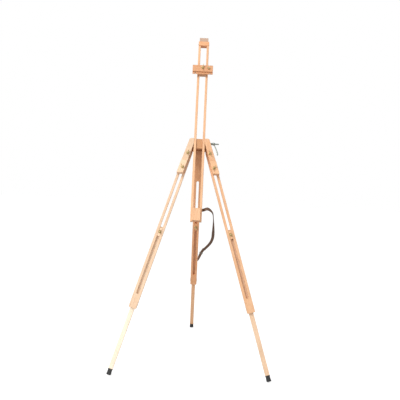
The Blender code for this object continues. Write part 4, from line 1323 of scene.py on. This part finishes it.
# ---- Strap -----------------------------------------------------------------------------------------------
@dataclass
class Strap:
    """Leather strap from the mast's back to the rear leg's side, with stitching, studs and a buckle."""

    mast: Axes
    rear: Axes
    width: float = 0.016
    thick: float = 0.0024
    standoff: float = 0.0012
    landing: float = 0.014
    overhang: float = 0.004
    mast_drop: float = 0.358
    rear_drop: float = 0.719
    rail_spacing: float = 0.033
    sections: int = 224
    bolt_depth: float = -0.0125
    bolt_height: float = 1.171
    hanging: tuple[tuple[float, float, float], ...] = (
        (0.054, -0.112, 0.832), (0.069, -0.102, 0.827), (0.083, -0.085, 0.813), (0.089, -0.060, 0.795),
        (0.093, -0.020, 0.758), (0.096, 0.035, 0.704), (0.096, 0.090, 0.662), (0.086, 0.145, 0.627),
        (0.066, 0.200, 0.594), (0.043, 0.255, 0.562))
    stitch_pitch: float = 0.0042
    stitch_length: float = 0.0028
    stitch_inset: float = 0.0021
    mast_stud_inset: float = 0.009
    rear_stud_inset: float = 0.007
    buckle_share: float = 0.86
    path: list[Vector] = field(default_factory=list)
    widths: list[Vector] = field(default_factory=list)
    faces: list[Vector] = field(default_factory=list)

    def lay_route(self) -> None:
        """Work out the strap's middle line, its width directions and its outer faces."""
        shift = self.mast.origin - Vector((0, self.bolt_depth, self.bolt_height))
        rail_high = self.mast.span("right_rail")[1]
        behind = rail_high.y + self.standoff + self.thick / 2
        board_half = self.rear.span("rear_leg_board")[1].x
        beside = board_half + self.standoff + self.thick / 2
        start = self.mast.at(self.rail_spacing / 4, behind, -self.mast_drop)
        turn = self.mast.at(rail_high.x + self.overhang, behind, -self.mast_drop)
        end = self.rear.at(beside, self.landing / 2, -self.rear_drop - self.landing / 4)
        seat = self.rear.at(beside, -self.landing, self.landing / 2 - self.rear_drop)
        chosen = [start, turn] + [Vector(spot) + shift for spot in self.hanging] + [seat, end]
        self.path = smooth_route(chosen, self.sections)
        for spot in self.path[len(self.path) // 2:]:
            spot.x = max(spot.x, end.x)
        edge_on = Vector((0.10, 0.90, 0.40))
        face_on = Vector((0.80, 0.30, -0.50))
        turns = [(0.00, self.mast.up), (0.18, self.mast.up), (0.32, edge_on), (0.42, edge_on),
                 (0.62, face_on), (0.84, face_on), (0.92, -self.rear.up), (1.00, -self.rear.up)]
        last = len(self.path) - 1
        for index in range(last + 1):
            share = index / last
            before = max(place for place, (at, _) in enumerate(turns[:-1]) if at <= share)
            (first_at, first), (next_at, following) = turns[before], turns[before + 1]
            edge = first.lerp(following, (share - first_at) / (next_at - first_at))
            ahead = (self.path[min(index + 1, last)] - self.path[max(index - 1, 0)]).normalized()
            edge = (edge - ahead * edge.dot(ahead)).normalized()
            self.widths.append(edge)
            self.faces.append(ahead.cross(edge).normalized())

    def at(self, share: float) -> tuple[Vector, Vector, Vector, Vector]:
        """Where the strap is at a share of its length.

        Args:
            share: 0 at the mast, 1 at the rear leg.

        Returns:
            The middle, the direction ahead, the width's direction and the face's direction.
        """
        place = share * (len(self.path) - 1)
        index = min(int(place), len(self.path) - 2)
        part = place - index
        middle = self.path[index].lerp(self.path[index + 1], part)
        ahead = (self.path[index + 1] - self.path[index]).normalized()
        edge = self.widths[index].lerp(self.widths[index + 1], part)
        edge = (edge - ahead * edge.dot(ahead)).normalized()
        return middle, ahead, edge, ahead.cross(edge).normalized()

    def bend(self) -> tuple[Vector, Vector]:
        """The strap's first point and its point a little before the buckle."""
        settled = self.buckle_share - 0.08
        return self.path[0], self.at(settled)[0]

    def band(self) -> None:
        """The leather band, with rounded edges."""
        half, thick = self.width / 2, self.thick / 2
        section = rounded_section(half, thick, thick * 0.85, 4)
        rings = []
        for middle, edge, face in zip(self.path, self.widths, self.faces):
            rings.append([middle + edge * across + face * deep for across, deep in section])
        bm = bmesh.new()
        add_loft(bm, rings)
        mesh = to_mesh(bm, "leather_strap", 60.0)
        piece = new_piece("leather_strap", mesh, Matrix.Identity(4), "rear_leg", LEATHER, between=self.bend())
        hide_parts("back_strap")

    def stitches(self) -> None:
        """Saddle stitches along both edges and both faces, in one mesh."""
        length = sum((after - before).length for before, after in zip(self.path, self.path[1:]))
        count = int(length / self.stitch_pitch)
        bm = bmesh.new()
        for number in range(1, count):
            middle, ahead, edge, face = self.at(number / count)
            for across in (-1, 1):
                for deep in (-1, 1):
                    root = middle + edge * (across * (self.width / 2 - self.stitch_inset))
                    root = root + face * (deep * (self.thick / 2 - 0.00005))
                    self.stitch(bm, root, ahead, edge, face * deep)
        mesh = to_mesh(bm, "strap_stitches", 80.0)
        new_piece("strap_stitches", mesh, Matrix.Identity(4), "rear_leg", THREAD, between=self.bend())

    def stitch(self, bm: bmesh.types.BMesh, root: Vector, ahead: Vector, edge: Vector, out: Vector) -> None:
        """Add one stitch: a short arched thread that dives into the leather at both ends.

        Args:
            bm: The bmesh.
            root: Middle of the stitch on the leather's face.
            ahead: Direction along the strap.
            edge: Direction across the strap.
            out: Direction out of the leather's face.
        """
        radius = 0.00032
        steps = 4
        rings = []
        for step in range(steps + 1):
            share = step / steps
            centre = root + ahead * ((share - 0.5) * self.stitch_length)
            centre = centre + out * (radius * (1.4 * math.sin(math.pi * share) - 0.5))
            thin = radius * (0.6 + 0.4 * math.sin(math.pi * share))
            rings.append([centre + edge * (thin * math.cos(turn)) + out * (thin * math.sin(turn))
                          for turn in (math.tau * spoke / 6 for spoke in range(6))])
        add_loft(bm, rings)

    def buckle(self) -> None:
        """A wire buckle with its prong, and the leather keeper loop next to it."""
        middle, ahead, edge, face = self.at(self.buckle_share)
        turn = Matrix((ahead, edge, face)).transposed().to_4x4()
        place = Matrix.Translation(middle) @ turn
        half_long, half_wide, wire = 0.0062, self.width / 2 + 0.0022, 0.00095
        bm = bmesh.new()
        outline = rounded_section(half_long, half_wide, 0.0022, 5)
        rise = self.thick / 2 + wire * 0.8
        add_wire(bm, [Vector((along, across, rise)) for along, across in outline], wire, True)
        prong = [Vector((-half_long, 0, rise + wire * 0.4)), Vector((0, 0, rise + wire * 1.6)),
                 Vector((half_long * 1.05, 0, rise + wire * 1.3))]
        add_wire(bm, prong, wire * 0.8, False)
        new_piece("strap_buckle", to_mesh(bm, "strap_buckle", 60.0), place, "rear_leg", STEEL)
        middle, ahead, edge, face = self.at(self.buckle_share - 0.05)
        place = Matrix.Translation(middle) @ Matrix((ahead, edge, face)).transposed().to_4x4()
        half_loop = 0.0030
        outer = rounded_section(self.width / 2 + 0.0016, self.thick / 2 + 0.0015, 0.0014, 4)
        inner = rounded_section(self.width / 2 + 0.0002, self.thick / 2 + 0.0002, 0.0008, 4)
        bm = bmesh.new()
        loops = [[bm.verts.new((along, across, deep)) for across, deep in line]
                 for along, line in ((-half_loop, inner), (-half_loop, outer), (half_loop, outer),
                                     (half_loop, inner))]
        for first, last in zip(loops, loops[1:] + loops[:1]):
            for step, corner in enumerate(first):
                after = (step + 1) % len(first)
                bm.faces.new((corner, first[after], last[after], last[step]))
        new_piece("strap_keeper", to_mesh(bm, "strap_keeper", 50.0), place, "rear_leg", LEATHER)

    def studs(self) -> None:
        """A domed stud through each end, with the collar that keeps the strap off the wood."""
        radius, shank_radius, rim, crown, steps = 0.0047, 0.0026, 0.0004, 0.0018, 7
        angles = [math.pi / 2 * step / steps for step in range(steps)]
        dome = [(radius * math.cos(angle), rim + crown * math.sin(angle)) for angle in angles]
        shank = self.thick + self.standoff
        profile = [(0, -shank), (shank_radius, -shank), (shank_radius, 0.0), (radius, 0.0)] + dome
        profile.append((0, rim + crown))
        mesh = turned_mesh("strap_stud", profile, 32)
        upper = self.path[0] + self.mast.right * self.mast_stud_inset
        lower = self.path[-1] - self.rear.back * self.rear_stud_inset
        spots = {"mast": (upper, self.mast.back, self.mast.up, "mast"),
                 "rear": (lower, self.rear.right, self.rear.up, "rear_leg")}
        for word, (spot, out, upright, body) in spots.items():
            seat = spot + out * (self.thick / 2)
            place = Matrix.Translation(seat) @ towards(out, upright).to_4x4()
            new_piece(f"strap_stud_{word}", mesh, place, body, BRASS)

    def build(self) -> None:
        """Lay the strap and make its parts."""
        self.lay_route()
        self.band()
        self.stitches()
        self.buckle()
        self.studs()


def smooth_route(points: Sequence[Vector], count: int) -> list[Vector]:
    """Even steps on a Catmull-Rom curve.

    Args:
        points: Points that the curve passes through.
        count: Number of steps.

    Returns:
        The points of the curve, one more than the steps.
    """
    padded = [2 * points[0] - points[1], *points, 2 * points[-1] - points[-2]]
    spans = len(points) - 1
    route = []
    for step in range(count + 1):
        place = min(step * spans / count, spans - 1e-9)
        index = int(place)
        part = place - index
        before, first, last, after = padded[index:index + 4]
        route.append(0.5 * ((2 * first) + (last - before) * part
                            + (2 * before - 5 * first + 4 * last - after) * part ** 2
                            + (3 * first - before - 3 * last + after) * part ** 3))
    return route


def add_wire(bm: bmesh.types.BMesh, path: Sequence[Vector], radius: float, closed: bool,
             sides: int = 10) -> None:
    """Add a round wire along a path.

    Args:
        bm: The bmesh.
        path: The wire's middle line.
        radius: The wire's radius.
        closed: Whether its end joins its start.
        sides: Number of sides.
    """
    count = len(path)
    rings = []
    for index, centre in enumerate(path):
        after = path[(index + 1) % count] if closed else path[min(index + 1, count - 1)]
        before = path[index - 1] if closed else path[max(index - 1, 0)]
        ahead = (after - before).normalized()
        side = ahead.cross(Vector((0, 0, 1))).normalized()
        up = side.cross(ahead).normalized()
        rings.append([centre + side * (radius * math.cos(turn)) + up * (radius * math.sin(turn))
                      for turn in (math.tau * spoke / sides for spoke in range(sides))])
    if not closed:
        add_loft(bm, rings)
        return
    made = [[bm.verts.new(point) for point in ring] for ring in rings]
    for first, last in zip(made, made[1:] + made[:1]):
        for step, corner in enumerate(first):
            after = (step + 1) % sides
            bm.faces.new((corner, first[after], last[after], last[step]))


# ---- Studio ----------------------------------------------------------------------------------------------
@dataclass
class Studio:
    """Pale floor, soft lights and the camera in front of the easel."""

    bolt: Vector
    camera_offset: Vector = field(default_factory=lambda: Vector((0.009, -2.5455, -0.209)))
    pitch: float = 0.035
    yaw: float = 0.003
    roll: float = 0.045
    lens: float = 43.2
    sensor: float = 36.0
    floor_size: float = 40.0
    ambient: float = 0.74
    floor_glow: float = 0.66

    def camera(self) -> None:
        """Point the camera slightly down at the easel, leaning a little to one side."""
        ahead = Vector((math.sin(self.yaw) * math.cos(self.pitch), math.cos(self.yaw) * math.cos(self.pitch),
                        -math.sin(self.pitch)))
        level = Vector((math.cos(self.yaw), -math.sin(self.yaw), 0))
        raised = level.cross(ahead)
        right = math.cos(self.roll) * level + math.sin(self.roll) * raised
        up = -math.sin(self.roll) * level + math.cos(self.roll) * raised
        data = bpy.data.cameras.new("studio_camera")
        data.sensor_fit = "HORIZONTAL"
        data.sensor_width = self.sensor
        data.lens = self.lens
        camera = bpy.data.objects.new("studio_camera", data)
        bpy.context.scene.collection.objects.link(camera)
        place = Matrix((right, up, -ahead)).transposed().to_4x4()
        place.translation = self.bolt + self.camera_offset
        camera.matrix_world = place
        bpy.context.scene.camera = camera

    def floor(self) -> None:
        """Lay a plain pale floor."""
        bm = bmesh.new()
        bmesh.ops.create_grid(bm, x_segments=1, y_segments=1, size=self.floor_size / 2)
        floor = bpy.data.objects.new("studio_floor", to_mesh(bm, "studio_floor"))
        bpy.context.scene.collection.objects.link(floor)
        floor.location = (0, 0, -0.0004)
        bench = FinishBench("pale_floor")
        smudge = bench.handling(1.5)
        faint = bench.desk.math("MULTIPLY", smudge, 0.02)
        colour = bench.desk.mix(faint, (0.48, 0.48, 0.48, 1), (0.45, 0.45, 0.44, 1))
        seen = bench.desk.add("ShaderNodeLightPath").outputs["Is Camera Ray"]
        glow = bench.desk.mix(seen, (0, 0, 0, 1), (1, 1, 1, 1))
        paper = bench.set(Base_Color=colour, Roughness=0.9, Emission_Color=glow,
                          Emission_Strength=self.floor_glow)
        floor.data.materials.append(paper)

    def light(self, name: str, place: Vector, size: float, power: float, aim: Vector) -> None:
        """Hang one soft light.

        Args:
            name: The light's name.
            place: Its position.
            size: Side of its square.
            power: Its power in watts.
            aim: The point that it faces.
        """
        data = bpy.data.lights.new(name, "AREA")
        data.size = size
        data.energy = power
        lamp = bpy.data.objects.new(name, data)
        bpy.context.scene.collection.objects.link(lamp)
        lamp.location = place
        lamp.rotation_euler = (aim - place).to_track_quat("-Z", "Y").to_euler()

    def lights(self) -> None:
        """Light the easel softly from the front left, with low fill for the feet."""
        middle = Vector((0, 0, 0.9))
        self.light("key", Vector((-2.0, -2.6, 2.9)), 1.4, 88.0, middle)
        self.light("fill", Vector((2.6, -2.0, 1.4)), 2.0, 13.0, middle)
        self.light("foot_fill", Vector((-1.7, -1.3, 0.5)), 1.0, 10.0, Vector((-0.3, 0, 0.2)))
        world = bpy.data.worlds.new("studio_world")
        bpy.context.scene.world = world
        world.use_nodes = True
        world.node_tree.nodes["Background"].inputs["Color"].default_value = (1, 1, 1, 1)
        desk = NodeDesk(world.node_tree)
        seen = desk.add("ShaderNodeLightPath").outputs["Is Camera Ray"]
        strength = desk.math("MAXIMUM", seen, self.ambient)
        desk.feed(world.node_tree.nodes["Background"].inputs["Strength"], strength)

    def build(self) -> None:
        """Set up the studio."""
        bpy.context.scene.view_settings.view_transform = "Standard"
        self.camera()
        self.floor()
        self.lights()


def main() -> None:
    """Build the easel's looks in order."""
    logging.basicConfig(level=logging.INFO, format="%(message)s")
    head = Axes.from_joints("clamp_lever_turn", "mast_slide", "left_pivot_nut_turn")
    head = Axes(head.origin, Vector((1, 0, 0)), head.back, Vector((1, 0, 0)).cross(head.back))
    mast = Axes.from_joints("mast_tilt", "mast_slide", "top_clamp_nut_turn")
    legs = {word: Axes.from_joints(f"{word}_leg_swing", f"{word}_leg_extend", f"{word}_leg_nut_turn")
            for word in ("left", "right", "rear")}
    Studio(mast.origin).build()
    Head(head).build()
    Mast(mast).build()
    # The left leg gets the lighter and near-white copies of beech, and the right leg's lower bar the lighter
    # one: painted light.
    Leg("left", legs["left"], LIGHT_PAINTED_BEECH, GLARE_PAINTED_BEECH).build()
    Leg("right", legs["right"], BEECH, LIGHT_PAINTED_BEECH).build()
    # The rear leg's board and guide block get the darker, redder copy of beech: painted shade under the head.
    Leg("rear", legs["rear"], RED_TONE_PLUS_SHADE_BEECH, BEECH).build()
    WingNuts().build()
    Strap(mast, legs["rear"]).build()


if __name__ == "__main__":
    main()
